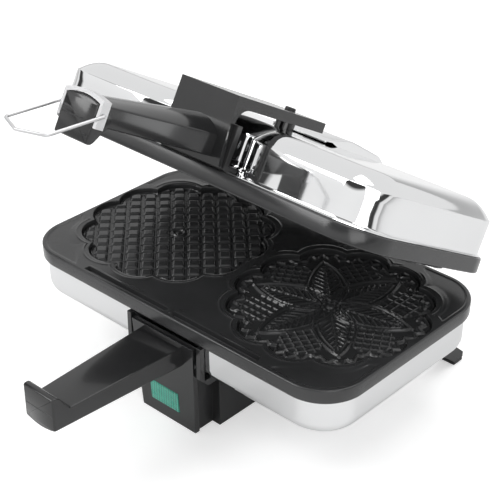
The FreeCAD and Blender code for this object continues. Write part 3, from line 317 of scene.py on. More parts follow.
def noise_range(nodes, links, source, low=0.0, high=1.0):
    """Spreads the middle of a noise over a range and hands back the result's socket."""
    spread = nodes.new("ShaderNodeMapRange")
    spread.inputs["From Min"].default_value = 0.3
    spread.inputs["From Max"].default_value = 0.7
    spread.inputs["To Min"].default_value = low
    spread.inputs["To Max"].default_value = high
    links.new(source, spread.inputs["Value"])
    return spread.outputs["Result"]


def finish(name, colour, rough, metallic=0.0, spread=0.06, grain=2500.0, bump=0.04, stretch=(1, 1, 1),
           tone=0.12, patch=35.0, coat=0.0, specular=0.5, transmission=0.0):
    """A surface finish: slow patches shift the colour and gloss a little, a fine grain moves the
    surface itself. Everything reads object coordinates."""
    material = bpy.data.materials.get(name)
    if material:
        return material
    material = bpy.data.materials.new(name)
    material.use_nodes = True
    nodes, links = material.node_tree.nodes, material.node_tree.links
    shader = nodes["Principled BSDF"]
    shader.inputs["Metallic"].default_value = metallic
    shader.inputs["Coat Weight"].default_value = coat
    shader.inputs["Coat Roughness"].default_value = 0.06
    shader.inputs["Specular IOR Level"].default_value = specular
    shader.inputs["Transmission Weight"].default_value = transmission
    place = nodes.new("ShaderNodeTexCoord")
    turned = nodes.new("ShaderNodeMapping")
    turned.inputs["Scale"].default_value = stretch
    links.new(place.outputs["Object"], turned.inputs["Vector"])
    slow = nodes.new("ShaderNodeTexNoise")
    slow.inputs["Scale"].default_value = patch
    slow.inputs["Detail"].default_value = 4
    links.new(turned.outputs["Vector"], slow.inputs["Vector"])
    blend = nodes.new("ShaderNodeMix")
    blend.data_type = "RGBA"
    blend.inputs["A"].default_value = (*[channel * (1 - tone) for channel in colour], 1)
    blend.inputs["B"].default_value = (*[min(1.0, channel * (1 + tone)) for channel in colour], 1)
    links.new(noise_range(nodes, links, slow.outputs["Fac"]), blend.inputs["Factor"])
    links.new(blend.outputs["Result"], shader.inputs["Base Color"])
    gloss = noise_range(nodes, links, slow.outputs["Fac"], max(0.0, rough - spread), rough + spread)
    links.new(gloss, shader.inputs["Roughness"])
    fine = nodes.new("ShaderNodeTexNoise")
    fine.inputs["Scale"].default_value = grain
    fine.inputs["Detail"].default_value = 3
    links.new(turned.outputs["Vector"], fine.inputs["Vector"])
    raised = nodes.new("ShaderNodeBump")
    raised.inputs["Strength"].default_value = bump
    raised.inputs["Distance"].default_value = 0.0002
    links.new(fine.outputs["Fac"], raised.inputs["Height"])
    links.new(raised.outputs["Normal"], shader.inputs["Normal"])
    return material


def coating():
    return finish("nonstick_coating", settings().coating, 0.21, spread=0.04, grain=1800, bump=0.11, tone=0.18,
                  patch=28, specular=0.55)


def chrome():
    return finish("mirror_chrome", settings().plating, 0.045, metallic=1.0, spread=0.02, grain=60, bump=0.05,
                  tone=0.015, patch=14)


def gloss_black():
    return finish("gloss_black_plastic", settings().moulding, 0.17, spread=0.03, grain=900, bump=0.03,
                  tone=0.15, patch=20, coat=0.25)


def satin_black():
    return finish("satin_black_plastic", settings().moulding, 0.36, spread=0.06, grain=2600, bump=0.2,
                  tone=0.2)


def bright_steel():
    return finish("zinc_plated_steel", (0.58, 0.585, 0.60), 0.26, metallic=1.0, spread=0.07, grain=700,
                  bump=0.08, stretch=(0.15, 1, 1), tone=0.08)


def wire_steel():
    return finish("stainless_wire", (0.70, 0.70, 0.71), 0.16, metallic=1.0, spread=0.05, grain=900, bump=0.05,
                  stretch=(1, 0.1, 1), tone=0.06)


def lens_green():
    """Green lens whose dots carry painted light: a lighter copy of the lens colour at the middle of each dot
    is a painted highlight, and a darker copy round it is painted shade, in rows that follow the lens face.
    """
    material = finish("green_lens_painted_dot_light", settings().lens, 0.28, spread=0.05, grain=1500, bump=0.1, tone=0.2,
                      patch=120, coat=0.4)
    nodes, links = material.node_tree.nodes, material.node_tree.links
    if nodes.get("painted_dot_light_rows"):
        return material
    place = next(node for node in nodes if node.type == "TEX_COORD")
    upright = nodes.new("ShaderNodeMapping")
    upright.inputs["Rotation"].default_value = (math.pi / 2, math.pi / 4, 0)
    links.new(place.outputs["Object"], upright.inputs["Vector"])
    # One cell per dot of painted light: painted highlight at its middle, painted shade towards its edge.
    cells = nodes.new("ShaderNodeTexVoronoi")
    cells.name = "painted_dot_light_rows"
    cells.voronoi_dimensions = "2D"
    cells.inputs["Scale"].default_value = 640
    cells.inputs["Randomness"].default_value = 0.0
    links.new(upright.outputs["Vector"], cells.inputs["Vector"])
    painted_glint_share = nodes.new("ShaderNodeMapRange")
    painted_glint_share.inputs["From Min"].default_value = 0.25
    painted_glint_share.inputs["From Max"].default_value = 0.6
    links.new(cells.outputs["Distance"], painted_glint_share.inputs["Value"])
    painted_dot_light_mix = nodes.new("ShaderNodeMix")
    painted_dot_light_mix.data_type = "RGBA"
    colour = settings().lens
    # Painted highlight (a lighter copy of the lens colour) at the dot middles, painted shade (a darker copy)
    # round them.
    painted_dot_light_mix.inputs["A"].default_value = (*[min(1, channel * 1.5 + 0.02) for channel in colour], 1)
    painted_dot_light_mix.inputs["B"].default_value = (*[channel * 0.35 for channel in colour], 1)
    links.new(painted_glint_share.outputs["Result"], painted_dot_light_mix.inputs["Factor"])
    links.new(painted_dot_light_mix.outputs["Result"], nodes["Principled BSDF"].inputs["Base Color"])
    return material


# ------------------------------------------------------------ cookie beds

def lobed_radius(angle, radius=LOBE_RADIUS):
    """Distance to the twelve-lobed edge: the far crossing of a ray with its lobe's circle."""
    step = 2 * math.pi / LOBES
    off = (angle % step) - step / 2
    return LOBE_RING * np.cos(off) + np.sqrt(radius ** 2 - (LOBE_RING * np.sin(off)) ** 2)


def ridge(distance, width):
    """A rounded ridge across a distance field."""
    return np.exp(-(distance / width) ** 2)


def ramp(value, low, high):
    share = np.clip((value - low) / (high - low), 0, 1)
    return share * share * (3 - 2 * share)


def lattice_relief(x, y, edge):
    """Square pads set cornerwise: a pad is high where the larger of its two side distances is small.
    Round the lattice runs a rib that follows the lobes, and a plain ring fills the middle."""
    pitch = settings().lattice_pitch / MM
    across, along = (x + y) / math.sqrt(2), (x - y) / math.sqrt(2)
    near = np.maximum(np.abs(across / pitch - np.round(across / pitch)),
                      np.abs(along / pitch - np.round(along / pitch))) * pitch
    pads = 1 - ramp(near, pitch / 2 - 2.3, pitch / 2 - 0.75)
    beads = 0.28 * ridge(near - pitch / 2, 0.35)
    radius = np.hypot(x, y)
    height = np.maximum(pads, beads) * (1 - ramp(radius, edge - 3.4, edge - 2.6))
    height = np.maximum(height, 0.75 * ridge(radius - (edge - 1.7), 0.55))
    middle = 1 - ramp(radius, 6.2, 6.8)
    return height * (1 - middle) + middle * np.maximum(0.8 * ridge(radius - 4.2, 0.8), 0.5 * (radius < 1.5))


def flower_relief(x, y, edge):
    """Six petals with a rim, a midrib and slanting veins, lozenges between them, a zigzag rib in the
    lobes and a round hub with stamens."""
    radius, angle = np.hypot(x, y), np.arctan2(y, x)
    length = settings().petal_length / MM
    height = np.zeros_like(x)
    inside = np.zeros_like(x)
    for petal in range(6):
        heading = math.radians(15 + 60 * petal)
        out = x * math.cos(heading) + y * math.sin(heading)
        beside = np.abs(-x * math.sin(heading) + y * math.cos(heading))
        share = np.clip(out / length, 0, 1)
        reach = 13.0 * np.sin(math.pi * share ** 0.8) ** 0.75
        gap = np.where((out > 2) & (out < length + 2), beside - reach, 20.0)
        within = 1 - ramp(gap, -0.6, 0.2)
        inside = np.maximum(inside, within)
        rim = ridge(gap, 0.95)
        rim = np.maximum(rim, 0.8 * ridge(gap + 3.2, 0.5) * (beside > 1.5))
        rib = ridge(beside, 0.8) * (out > 4) * (out < length * 0.86)
        vein = (out - 1.1 * beside) % 5.0
        veins = 0.55 * ridge(vein - 2.5, 0.55) * (gap < -3.6)
        dots = 0.45 * ridge(np.hypot((out % 3.2) - 1.6, (beside % 3.2) - 1.6), 0.55)
        dots *= (gap < -3.6) * (out > 24)
        swell = 0.30 * within * np.clip(-gap / 6, 0, 1)
        height = np.maximum(height, np.maximum.reduce([rim, rib, veins + swell, dots + swell]))
        between = math.radians(-15 + 60 * petal)
        out = x * math.cos(between) + y * math.sin(between)
        side = -x * math.sin(between) + y * math.cos(between)
        first, second = (out + side) / math.sqrt(2), (out - side) / math.sqrt(2)
        cell = 5.2
        close = np.minimum(np.abs(first - cell * np.round(first / cell)),
                           np.abs(second - cell * np.round(second / cell)))
        zone = (out > 24) & (out < 60) & (np.abs(side) < 14)
        lozenge = 1 - ramp(cell / 2 - close, 0.1, 1.9)
        height = np.maximum(height, 0.95 * ridge(close, 0.55) * zone * (1 - inside))
        height = np.maximum(height, 0.35 * (1 - lozenge) * zone * (1 - inside))
    wave = np.abs(((angle - math.radians(15)) * 48 / (2 * math.pi)) % 1 - 0.5) * 4 - 1
    belt = edge - 6.0 + 2.2 * wave
    outer = ramp(radius, edge - 10.5, edge - 9.5)
    zigzag = np.maximum(ridge(radius - belt, 0.85), 0.4 * ridge(radius - belt + 2.6, 0.6))
    height = height * (1 - outer) + outer * zigzag
    height = np.maximum(height, 0.75 * ridge(radius - (edge - 1.7), 0.55))
    hub = 1 - ramp(radius, 6.6, 7.2)
    stamens = ridge(np.hypot((angle * 9 / (2 * math.pi)) % 1 - 0.5, (radius - 5.2) / 3), 0.28)
    return height * (1 - hub) + hub * np.maximum(0.9 * (1 - ramp(radius, 2.2, 2.9)), 0.85 * stamens)


def cookie_bed(name, side, relief, lid):
    """A square grid over one bed. Points past the lobed edge are drawn in to it, and cells that lie
    wholly outside are left out. Height is the relief above the floor, or below it on the lid."""
    half, count = LOBE_RING + LOBE_RADIUS + 1.6, 276
    line = np.linspace(-half, half, count)
    x, y = np.meshgrid(line, line)
    radius, angle = np.hypot(x, y), np.arctan2(y, x)
    edge = lobed_radius(angle, LOBE_RADIUS - (LID_DISC_CLEAR if lid else 0.0))
    past = radius > edge
    pull = np.where(past, edge / np.maximum(radius, 1e-6), 1.0)
    x, y = x * pull, y * pull
    tall = settings().relief_height / MM
    height = relief(x, y, edge) * tall
    if lid:
        level = MATE_GAP - 0.62 - height * 0.9
        level = np.where(past, MATE_GAP + 0.2, np.minimum(level, np.where(radius > edge - 1.2, -0.9, 9)))
    else:
        level = -BED_DEPTH + height
        level = np.where(past, -BED_DEPTH - 0.1, level)
    block = np.stack([x + side * BED_X, y + BED_Y, level], -1)
    keep = ~(past[:-1, :-1] & past[1:, :-1] & past[:-1, 1:] & past[1:, 1:])
    shell = Shell().grid(block, flip=lid)
    shell.faces = np.array(shell.faces)[keep.ravel()].tolist()
    body = "lid" if lid else "base"
    piece = shell.make(name, body, coating(), lid=lid, outward=False, sharp=60)
    return piece


def half_plate_radius(angle, inset):
    """Distance from a bed's middle to the edge of its half of the plate along each ray."""
    outline = plate_outline(inset, 400)
    outline = outline[outline[:, 0] > 0]
    seam = np.linspace(-(HALF_DEEP - inset), HALF_DEEP - inset, 1200)
    sides = np.linspace(0, HALF_WIDE - PLATE_CORNER, 900)
    straight = [np.column_stack([np.zeros_like(seam), seam]),
                np.column_stack([sides, np.full_like(sides, HALF_DEEP - inset)]),
                np.column_stack([sides, np.full_like(sides, inset - HALF_DEEP)]),
                np.column_stack([np.full(600, HALF_WIDE - inset),
                                 np.linspace(PLATE_CORNER - HALF_DEEP, HALF_DEEP - PLATE_CORNER, 600)])]
    outline = np.concatenate([outline] + straight) - (BED_X, BED_Y)
    bearing = np.arctan2(outline[:, 1], outline[:, 0])
    order = np.argsort(bearing)
    return np.interp(angle, bearing[order], np.hypot(*outline.T)[order], period=2 * math.pi)


def plate_face(lid):
    """One half of the plate's flat face round its bed, as rings at growing distance: the bed's wall
    and lip, a thin raised line that follows the lobes, the flat, then the drip groove and the rim."""
    angle = np.linspace(-math.pi, math.pi, 1081)
    bed = lobed_radius(angle, LOBE_RADIUS - (LID_DISC_CLEAR if lid else 0.0))
    inner = half_plate_radius(angle, 7.4)
    gap = np.maximum(inner - bed - 0.25, 0)
    shrink = np.minimum(gap / 6.5, 1)
    rings = [(bed - 0.45, -BED_DEPTH - 0.15), (bed - 0.12, -0.6), (bed - 0.02, -0.2), (bed + 0.25, 0.0)]
    if lid:
        rings = [(bed - 0.3, 0.0), (bed + 0.25, 0.0)]
    for away, rise in ((1.6, 0), (2.6, 0), (3.0, 0.22), (3.4, LINE_HEIGHT), (3.8, 0.22), (4.2, 0), (5.4, 0)):
        rings.append((bed + 0.25 + away * shrink, rise * ramp(gap, 5.0, 8.0)))
    for share in np.linspace(0.2, 1, 6):
        rings.append((bed + 0.25 + 5.4 * shrink + share * np.maximum(gap - 5.4 * shrink, 0), 0.0))
    for inset in (6.9, 6.5, 6.1, 5.6, 5.2, 4.8, 4.0, 3.2, 2.8, 2.4, 2.1, 1.7, 1.2):
        rings.append((half_plate_radius(angle, inset), 0.0))
    radius = np.maximum.accumulate(np.stack([ring for ring, rise in rings]), axis=0)
    height = np.stack([np.broadcast_to(rise, angle.shape) for ring, rise in rings]).astype(float)
    x = BED_X + radius * np.cos(angle)
    y = BED_Y + radius * np.sin(angle)
    x = np.maximum(x, 0.0)
    if lid:
        return np.stack([x, y, np.full_like(x, MATE_GAP)], -1)
    front = y + HALF_DEEP
    spans = ramp(x, 1.8, 2.6) * (1 - ramp(x, GROOVE_END, GROOVE_END + 0.8))
    groove = ramp(front, 2.75, 3.15) * (1 - ramp(front, 6.45, 6.85))
    berm = ridge(front - 7.4, 0.5) * spans
    far = ramp(radius, bed + 6, bed + 8)
    corner = ramp(np.abs(x) - 95 + np.abs(y) - 42, 24, 27) * far * ramp(HALF_DEEP - np.abs(y), 2.6, 3.6)
    corner *= ramp(HALF_WIDE - x, 2.6, 3.6)
    reach = np.hypot(np.maximum(x - HALF_WIDE + PLATE_CORNER, 0),
                     np.maximum(np.abs(y) - HALF_DEEP + PLATE_CORNER, 0))
    corner *= 1 - ramp(reach, PLATE_CORNER - 3.6, PLATE_CORNER - 2.6)
    height = height - GROOVE_DEPTH * groove * spans + BERM_HEIGHT * berm - POCKET_DEPTH * corner
    return np.stack([x, y, height], -1)


def grid_plate(lid):
    """The two half faces, then the band: a profile of (inset, depth) pairs carried round the outline."""
    face = plate_face(lid)
    mirror = face * (-1, 1, 1)
    shell = Shell().grid(face, flip=lid).grid(mirror, flip=not lid)
    profile = [(2.0, 0.02), (1.2, 0.0), (0.75, 0.08), (0.35, 0.35), (0.08, 0.75), (0, 1.2),
               (0.25, BAND - 1.0),
               (0.5, BAND - 0.35), (1.1, BAND), (7.0, BAND), (7.0, BAND - 3.0)]
    sign, base = (1, MATE_GAP) if lid else (-1, 0)
    rings = np.stack([levelled(plate_outline(inset), base + sign * depth) for inset, depth in profile])
    shell.grid(rings, wrap=True, flip=not lid)
    shell.cap(rings[-1], flip=not lid)
    name, body, node = (("lid_grid_plate", "lid", "upper_grid_plate") if lid
                        else ("base_grid_plate", "base", "lower_grid_plate"))
    piece = shell.make(name, body, coating(), lid=lid, replaces=[node], outward=False, sharp=40)
    return piece


# ------------------------------------------------------------ chrome skins

def lobed_lid_outline(inset, steps=28):
    """Lid outline: a rounded rectangle whose front and back are drawn in at the waist by two large
    arcs and a small valley arc. Outward arcs lose the inset, valley arcs gain it."""
    wide, deep, corner = HALF_WIDE - SKIN_INSET, HALF_DEEP - SKIN_INSET, PLATE_CORNER - SKIN_INSET
    turn, waist_x, throat = 62.0, 68.0, 12.0
    turn_y = deep - turn
    lean = math.acos((waist_x - throat) / turn)
    valley = throat / math.cos(lean)
    valley_y = turn_y + turn * math.sin(lean) + throat * math.tan(lean)
    lean_deg = math.degrees(lean)
    corner_x, corner_y = wide - corner, deep - corner
    arcs = ((corner_x, -corner_y, corner - inset, 270, 360),
            (corner_x, corner_y, corner - inset, 0, 90),
            (waist_x, turn_y, turn - inset, 90, 180 - lean_deg),
            (0, valley_y, valley + inset, -lean_deg, lean_deg - 180),
            (-waist_x, turn_y, turn - inset, lean_deg, 90),
            (-corner_x, corner_y, corner - inset, 90, 180),
            (-corner_x, -corner_y, corner - inset, 180, 270),
            (-waist_x, -turn_y, turn - inset, 270, 360 - lean_deg),
            (0, -valley_y, valley + inset, 180 - lean_deg, lean_deg),
            (waist_x, -turn_y, turn - inset, 180 + lean_deg, 270))
    pieces = []
    for x, y, radius, begin, end in arcs:
        angle = np.radians(np.linspace(begin, end, steps))
        pieces.append(np.stack([x + radius * np.cos(angle), y + radius * np.sin(angle)], -1))
    return np.concatenate(pieces)


def lid_cover():
    """Rim flange, then the raised skin: an upright wall, a crisp crease, and a shoulder whose height
    grows as one minus the square of the way left to the crown."""
    base = MATE_GAP + BAND
    shell = Shell()
    flange = [(SKIN_INSET + 2, base + 0.05), (SKIN_INSET - 1.4, base + 0.05), (SKIN_INSET - 1.8, base + 0.5),
              (SKIN_INSET - 1.4, base + 1.0), (SKIN_INSET + 1, base + 1.05), (SKIN_INSET + 12, base + 1.05)]
    rings = np.stack([levelled(plate_outline(inset, 28), height) for inset, height in flange])
    shell.grid(rings, wrap=True)
    shell.cap(rings[-1])
    shell.cap(rings[0], flip=True)
    profile = [(-0.9, base + 1.0), (-0.35, base + 1.25), (-0.05, base + 1.8), (0, base + 2.6),
               (0, 20.0), (0, 28.0),
               (0, CREASE - 1.0), (0.12, CREASE - 0.45), (0.45, CREASE - 0.1), (0.9, CREASE + 0.12)]
    for share in np.linspace(0.08, 1, 16):
        profile.append((0.9 + 18.1 * share, CREASE + 0.12 + (CROWN - CREASE - 0.12) * (1 - (1 - share) ** 2)))
    rings = np.stack([levelled(lobed_lid_outline(inset), height) for inset, height in profile])
    shell.grid(rings, wrap=True)
    shell.cap(rings[-1])
    piece = shell.make("lid_cover", "lid", chrome(), lid=True, replaces=["upper_housing"],
                       outward=False, sharp=28)
    return piece


def base_tray():
    """Upright wall, a quarter-round lower edge and a flat floor, all on insets of one outline."""
    top, low, round_edge = -BAND - 0.1, -BAND - TRAY_HEIGHT, 9.0
    profile = [(1.0, top), (0, top), (0, -18.0), (0, low + round_edge)]
    for angle in np.linspace(0, math.pi / 2, 14)[1:]:
        profile.append((round_edge * (1 - math.cos(angle)), low + round_edge * (1 - math.sin(angle))))
    profile.append((22.0, low))
    rings = np.stack([levelled(plate_outline(SKIN_INSET + inset, 28), height) for inset, height in profile])
    shell = Shell().grid(rings, wrap=True, flip=True).cap(rings[-1], flip=True).cap(rings[0])
    piece = shell.make("base_tray", "base", chrome(), replaces=["lower_housing"], outward=False, sharp=40)
    return piece


def rear_hood():
    """A humped side profile carried across, its rims rounded."""
    seat_height = MATE_GAP + BAND + 1.0 + 2.5 + 2.2 + 0.3
    back = 107.4
    corners = [(15.0, CROWN + 0.4), (24.0, CROWN + 0.8), (58.0, CROWN - 8.2), (58.0, seat_height),
               (back, seat_height), (back, seat_height + 8), (back - 4, CROWN - 9),
               (HALF_DEEP + 5, CROWN + 2), (45.0, CROWN + 6.5), (21.0, CROWN + 3.5)]
    outline = rounded_polygon(corners, [0.5, 0.5, 0.5, 0.5, 1.0, 6, 16, 24, 40, 3], steps=14)
    shell = prism(outline, -22.9, 22.9, 1.0, side_space, steps=7)
    piece = shell.make("rear_hood", "lid", chrome(), lid=True, replaces=["hinge_hood"], sharp=32)
    return piece


# ------------------------------------------------------------ handles and latch

def grip_section(low, half, side, crown, steps=18):
    """Flat inner face, upright sides and an arched back with softened corners."""
    rise = crown - side
    radius = (half ** 2 + rise ** 2) / (2 * rise)
    span = math.asin(min(1.0, half / radius))
    angle = np.linspace(span, -span, steps)
    arch = np.column_stack([radius * np.sin(angle), crown - radius + radius * np.cos(angle)])
    corners = np.concatenate([[(-half, low), (half, low)], arch])
    radii = np.concatenate([[0.9, 0.9, 1.6], np.zeros(steps - 2), [1.6]])
    return rounded_polygon(corners, radii, steps=6)


def handle(name, root, turned, lid):
    """The section carried from root to end while its width, sides and arch taper; near the end the
    inner face ramps down to the lip, and the last rings close in to round the end."""
    end, inner, lip = -180.8, 16.0, 4.9
    stations = np.concatenate([np.linspace(root, -164, 20), np.linspace(-166, end + 2.4, 22),
                               [end + 1.6, end + 0.9, end + 0.45, end + 0.15, end]])
    rings = []
    for y in stations:
        share = (y - end) / (-83.4 - end)
        half = 13.1 + 4.7 * share
        side = 27.6 + 2.0 * share
        crown = 30.0 + 8.0 * share
        low = inner + (lip - inner) * float(ramp(np.array(-168.2 - y), -0.6, 9.4))
        close = max(0.0, 1.6 - (y - end)) / 1.6
        inset = 1.1 * (1 - math.sqrt(max(0.0, 1 - close ** 2)))
        outline = inset_outline(grip_section(low, half, side, crown), inset)
        height = outline[:, 1] + (MATE_GAP if lid else 0)
        upright = height * (-1 if turned else 1)
        rings.append(np.column_stack([outline[:, 0], np.full(len(outline), y), upright]))
    shell = Shell().grid(np.stack(rings), wrap=True).cap(rings[0], flip=True).cap(rings[-1])
    node = "upper_handle" if lid else "lower_handle"
    piece = shell.make(name, "lid" if lid else "base", gloss_black(), lid=lid, replaces=[node], sharp=42)
    line = rounded_rectangle(12.2, 0.45, 0.4, 4) + (0, 17.2 + (MATE_GAP if lid else 0))
    line = line * (1, -1 if turned else 1)
    groove = prism(line, end - 0.02, end + 1.0, 0.01, front_space, steps=2)
    piece = groove.make(name + "_latch_line", "lid" if lid else "base", satin_black(), lid=lid)


def latch_wire():
    """Wire bent from ear to ear: two arms, a shallow point at the front, hooks turned into the ears."""
    pivot = np.array([0.0, -177.3, 22.5 + MATE_GAP])
    drop = math.radians(25.5)
    ahead = np.array([0.0, -math.cos(drop), -math.sin(drop)])
    half, arm, point = 17.0, 39.8, 6.8
    hook, out = np.array([13.9, 0, 0]), np.array([half, 0, 0])
    corners = [pivot - hook, pivot - out, pivot - out + ahead * arm, pivot + ahead * (arm + point),
               pivot + out + ahead * arm, pivot + out, pivot + hook]
    path = smooth_path(corners, [1.3, 3.5, 3.0, 3.5, 1.3])
    piece = tube(path, settings().wire_radius / MM).make("latch_wire", "bail", wire_steel(), lid=True,
                                                         replaces=["latch_bail"])


# ------------------------------------------------------------ indicator

def indicator_lens():
    """A leaning pane whose face carries rows of small pyramids: height is the smaller of two
    triangle waves."""
    face_y, lean = 81.4, 4.0 / 68.7
    wide, tall, left, middle = 25.7, 15.2, -2.2, 65.0
    u, v = np.meshgrid(np.linspace(-0.5, 0.5, 131), np.linspace(-0.5, 0.5, 79))
    border = np.minimum(0.5 - np.abs(u), (0.5 - np.abs(v)) * tall / wide) * wide
    cell = 1.25
    bumps = np.minimum(np.abs((u * wide / cell) % 1 - 0.5), np.abs((v * tall / cell) % 1 - 0.5)) * 0.5
    level = 0.25 + bumps * (border > 0.6)
    level = np.where(border < 0.01, -2.6, level)
    depth = middle - v * tall
    y = -(face_y - lean * (depth - 14.0)) - level
    block = np.stack([left + u * wide, y, -depth], -1)
    shell = Shell().grid(block)
    shell.cap(np.concatenate([block[0], block[1:, -1], block[-1, -2::-1], block[-2:0:-1, 0]]), flip=True)
    piece = shell.make("indicator_pane", "base", lens_green(), replaces=["indicator_lens"], sharp=30)


# ------------------------------------------------------------ pieces that follow the frame's solids

DRESSED = {
    "front_leg": ("base", gloss_black, 0.5), "leg_collar": ("base", gloss_black, 0.7),
    "front_foot": ("base", satin_black, 0.9), "rear_leg_left": ("base", satin_black, 1.0),
    "rear_leg_right": ("base", satin_black, 1.0), "foot_pad_left": ("base", satin_black, 0.8),
    "foot_pad_right": ("base", satin_black, 0.8), "cord_inlet": ("base", satin_black, 0.5),
    "lower_hinge_bracket": ("base", bright_steel, 0.35), "hinge_pin": ("base", bright_steel, 0.5),
    "upper_hinge_bracket": ("lid", bright_steel, 0.35), "upper_bracket": ("lid", gloss_black, 0.8),
    "bracket_liner": ("lid", satin_black, 0.6), "bail_saddle": ("lid", wire_steel, 0.25),
    "plate_screws": ("base", bright_steel, 0.2), "base_hinge_screws": ("base", bright_steel, 0.2),
    "arm_screws": ("lid", satin_black, 0.2), "liner_screws": ("lid", bright_steel, 0.2),
    "lid_hinge_screws": ("lid", bright_steel, 0.2), "upper_handle_screws": ("lid", bright_steel, 0.2),
}


def dress(node):
    """A merged copy of a frame solid with its flat faces joined and its edges broken by a bevel."""
    body, material, width = DRESSED[node]
    source = frame["nodes"][node]
    mesh = bpy.data.meshes.new(node + "_dressed")
    work = bmesh.new()
    work.from_mesh(source.data)
    work.transform(source.matrix_world)
    bmesh.ops.remove_doubles(work, verts=work.verts, dist=5e-6)
    bmesh.ops.dissolve_limit(work, angle_limit=math.radians(0.6), verts=work.verts, edges=work.edges,
                             use_dissolve_boundaries=False)
    work.to_mesh(mesh)
    work.free()
    piece = finish_piece(node + "_dressed", mesh, body, material(), [node], sharp=30)
    bevel = piece.modifiers.new("broken_edges", "BEVEL")
    bevel.width = width * MM
    bevel.segments = 3
    bevel.limit_method = "ANGLE"
    bevel.angle_limit = math.radians(32)
    bevel.harden_normals = True
    bevel.use_clamp_overlap = True


def hidden_materials():
    """Finishes of the solids that stay as they are inside the iron."""
    cream = finish("cream_insulator", (0.62, 0.60, 0.54), 0.5, tone=0.08, bump=0.1)
    sheath = finish("oxidised_sheath", (0.12, 0.11, 0.10), 0.45, metallic=1.0, tone=0.25, patch=90, bump=0.15)
    sheet = finish("rolled_sheet", (0.70, 0.71, 0.72), 0.3, metallic=1.0, stretch=(0.1, 1, 1), tone=0.06)
    lamp = finish("lamp_glass", (0.9, 0.55, 0.35), 0.1, transmission=0.6, tone=0.05)
    table = {"thermostat": cream, "terminal_block": cream, "lower_heater": sheath, "upper_heater": sheath,
             "lower_heat_shield": sheet, "upper_heat_shield": sheet, "indicator_lamp": lamp,
             "thermal_fuse": bright_steel(), "front_foot_screws": bright_steel(),
             "rear_leg_screws": bright_steel(),
             "lower_handle_screws": bright_steel()}
    for node, material in table.items():
        piece = frame["nodes"][node]
        piece.data.materials.clear()
        piece.data.materials.append(material)


# ------------------------------------------------------------ stage

def floor_material():
    """A pale matt floor that keeps the object's shadow; to the camera it is lifted to the white of
    the backdrop, and in the chrome it stays a light grey."""
    material = bpy.data.materials.new("pale_floor")
    material.use_nodes = True
    nodes, links = material.node_tree.nodes, material.node_tree.links
    nodes.clear()
    out = nodes.new("ShaderNodeOutputMaterial")
    matt = nodes.new("ShaderNodeBsdfDiffuse")
    matt.inputs["Color"].default_value = (*settings().floor, 1)
    glow = nodes.new("ShaderNodeEmission")
    glow.inputs["Color"].default_value = (1, 1, 1, 1)
    ray = nodes.new("ShaderNodeLightPath")
    lift = nodes.new("ShaderNodeMath")
    lift.operation = "MULTIPLY"
    lift.inputs[1].default_value = 0.42
    links.new(ray.outputs["Is Camera Ray"], lift.inputs[0])
    links.new(lift.outputs[0], glow.inputs["Strength"])
    both = nodes.new("ShaderNodeAddShader")
    links.new(matt.outputs[0], both.inputs[0])
    links.new(glow.outputs[0], both.inputs[1])
    links.new(both.outputs[0], out.inputs["Surface"])
    return material


def backdrop_world():
    """White to the camera and a plain soft light for everything matt. Mirrors see a studio: pale walls
    and ceiling, with two dark bands on the side where the camera stands."""
    world = bpy.data.worlds.new("studio")
    bpy.context.scene.world = world
    world.use_nodes = True
    nodes, links = world.node_tree.nodes, world.node_tree.links
    nodes.clear()
    out = nodes.new("ShaderNodeOutputWorld")
    soft = nodes.new("ShaderNodeBackground")
    soft.inputs["Color"].default_value = (1, 1, 1, 1)
    soft.inputs["Strength"].default_value = 0.55
    white = nodes.new("ShaderNodeBackground")
    white.inputs["Color"].default_value = (1, 1, 1, 1)
    white.inputs["Strength"].default_value = 1.0
    mirror = nodes.new("ShaderNodeBackground")
    ray = nodes.new("ShaderNodeLightPath")
    place = nodes.new("ShaderNodeTexCoord")
    split = nodes.new("ShaderNodeSeparateXYZ")
    links.new(place.outputs["Generated"], split.inputs[0])
    levels = nodes.new("ShaderNodeValToRGB")
    stops = ((0.0, 0.90), (0.05, 0.85), (0.08, 0.05), (0.20, 0.05), (0.26, 0.90), (0.49, 0.98), (0.55, 0.05),
             (0.69, 0.05), (0.76, 0.80), (1.0, 0.74))
    ramp_stops = levels.color_ramp.elements
    while len(ramp_stops) < len(stops):
        ramp_stops.new(0.5)
    for stop, (place_at, value) in zip(ramp_stops, stops):
        stop.position = place_at
        stop.color = (value, value, value, 1)
    links.new(split.outputs["Z"], levels.inputs["Fac"])
    toward = nodes.new("ShaderNodeMapRange")
    toward.inputs["From Min"].default_value = 0.08
    toward.inputs["From Max"].default_value = 0.34
    links.new(split.outputs["Y"], toward.inputs["Value"])
    walls = nodes.new("ShaderNodeMix")
    walls.data_type = "RGBA"
    walls.inputs["B"].default_value = (0.86, 0.86, 0.86, 1)
    links.new(toward.outputs["Result"], walls.inputs["Factor"])
    links.new(levels.outputs["Color"], walls.inputs["A"])
    links.new(walls.outputs["Result"], mirror.inputs["Color"])
    first = nodes.new("ShaderNodeMixShader")
    links.new(ray.outputs["Is Glossy Ray"], first.inputs["Fac"])
    links.new(soft.outputs[0], first.inputs[1])
    links.new(mirror.outputs[0], first.inputs[2])
    direct = nodes.new("ShaderNodeMath")
    direct.operation = "MAXIMUM"
    links.new(ray.outputs["Is Camera Ray"], direct.inputs[0])
    links.new(ray.outputs["Is Transmission Ray"], direct.inputs[1])
    second = nodes.new("ShaderNodeMixShader")
    links.new(direct.outputs[0], second.inputs["Fac"])
    links.new(first.outputs[0], second.inputs[1])
    links.new(white.outputs[0], second.inputs[2])
    links.new(second.outputs[0], out.inputs["Surface"])


def softbox(name, place, target, size, power):
    lamp = bpy.data.lights.new(name, "AREA")
    lamp.shape = "RECTANGLE"
    lamp.size, lamp.size_y = size
    lamp.energy = power
    item = bpy.data.objects.new(name, lamp)
    bpy.context.scene.collection.objects.link(item)
    item.location = place
    item.rotation_mode = "QUATERNION"
    item.rotation_quaternion = (Vector(target) - Vector(place)).to_track_quat("-Z", "Y")


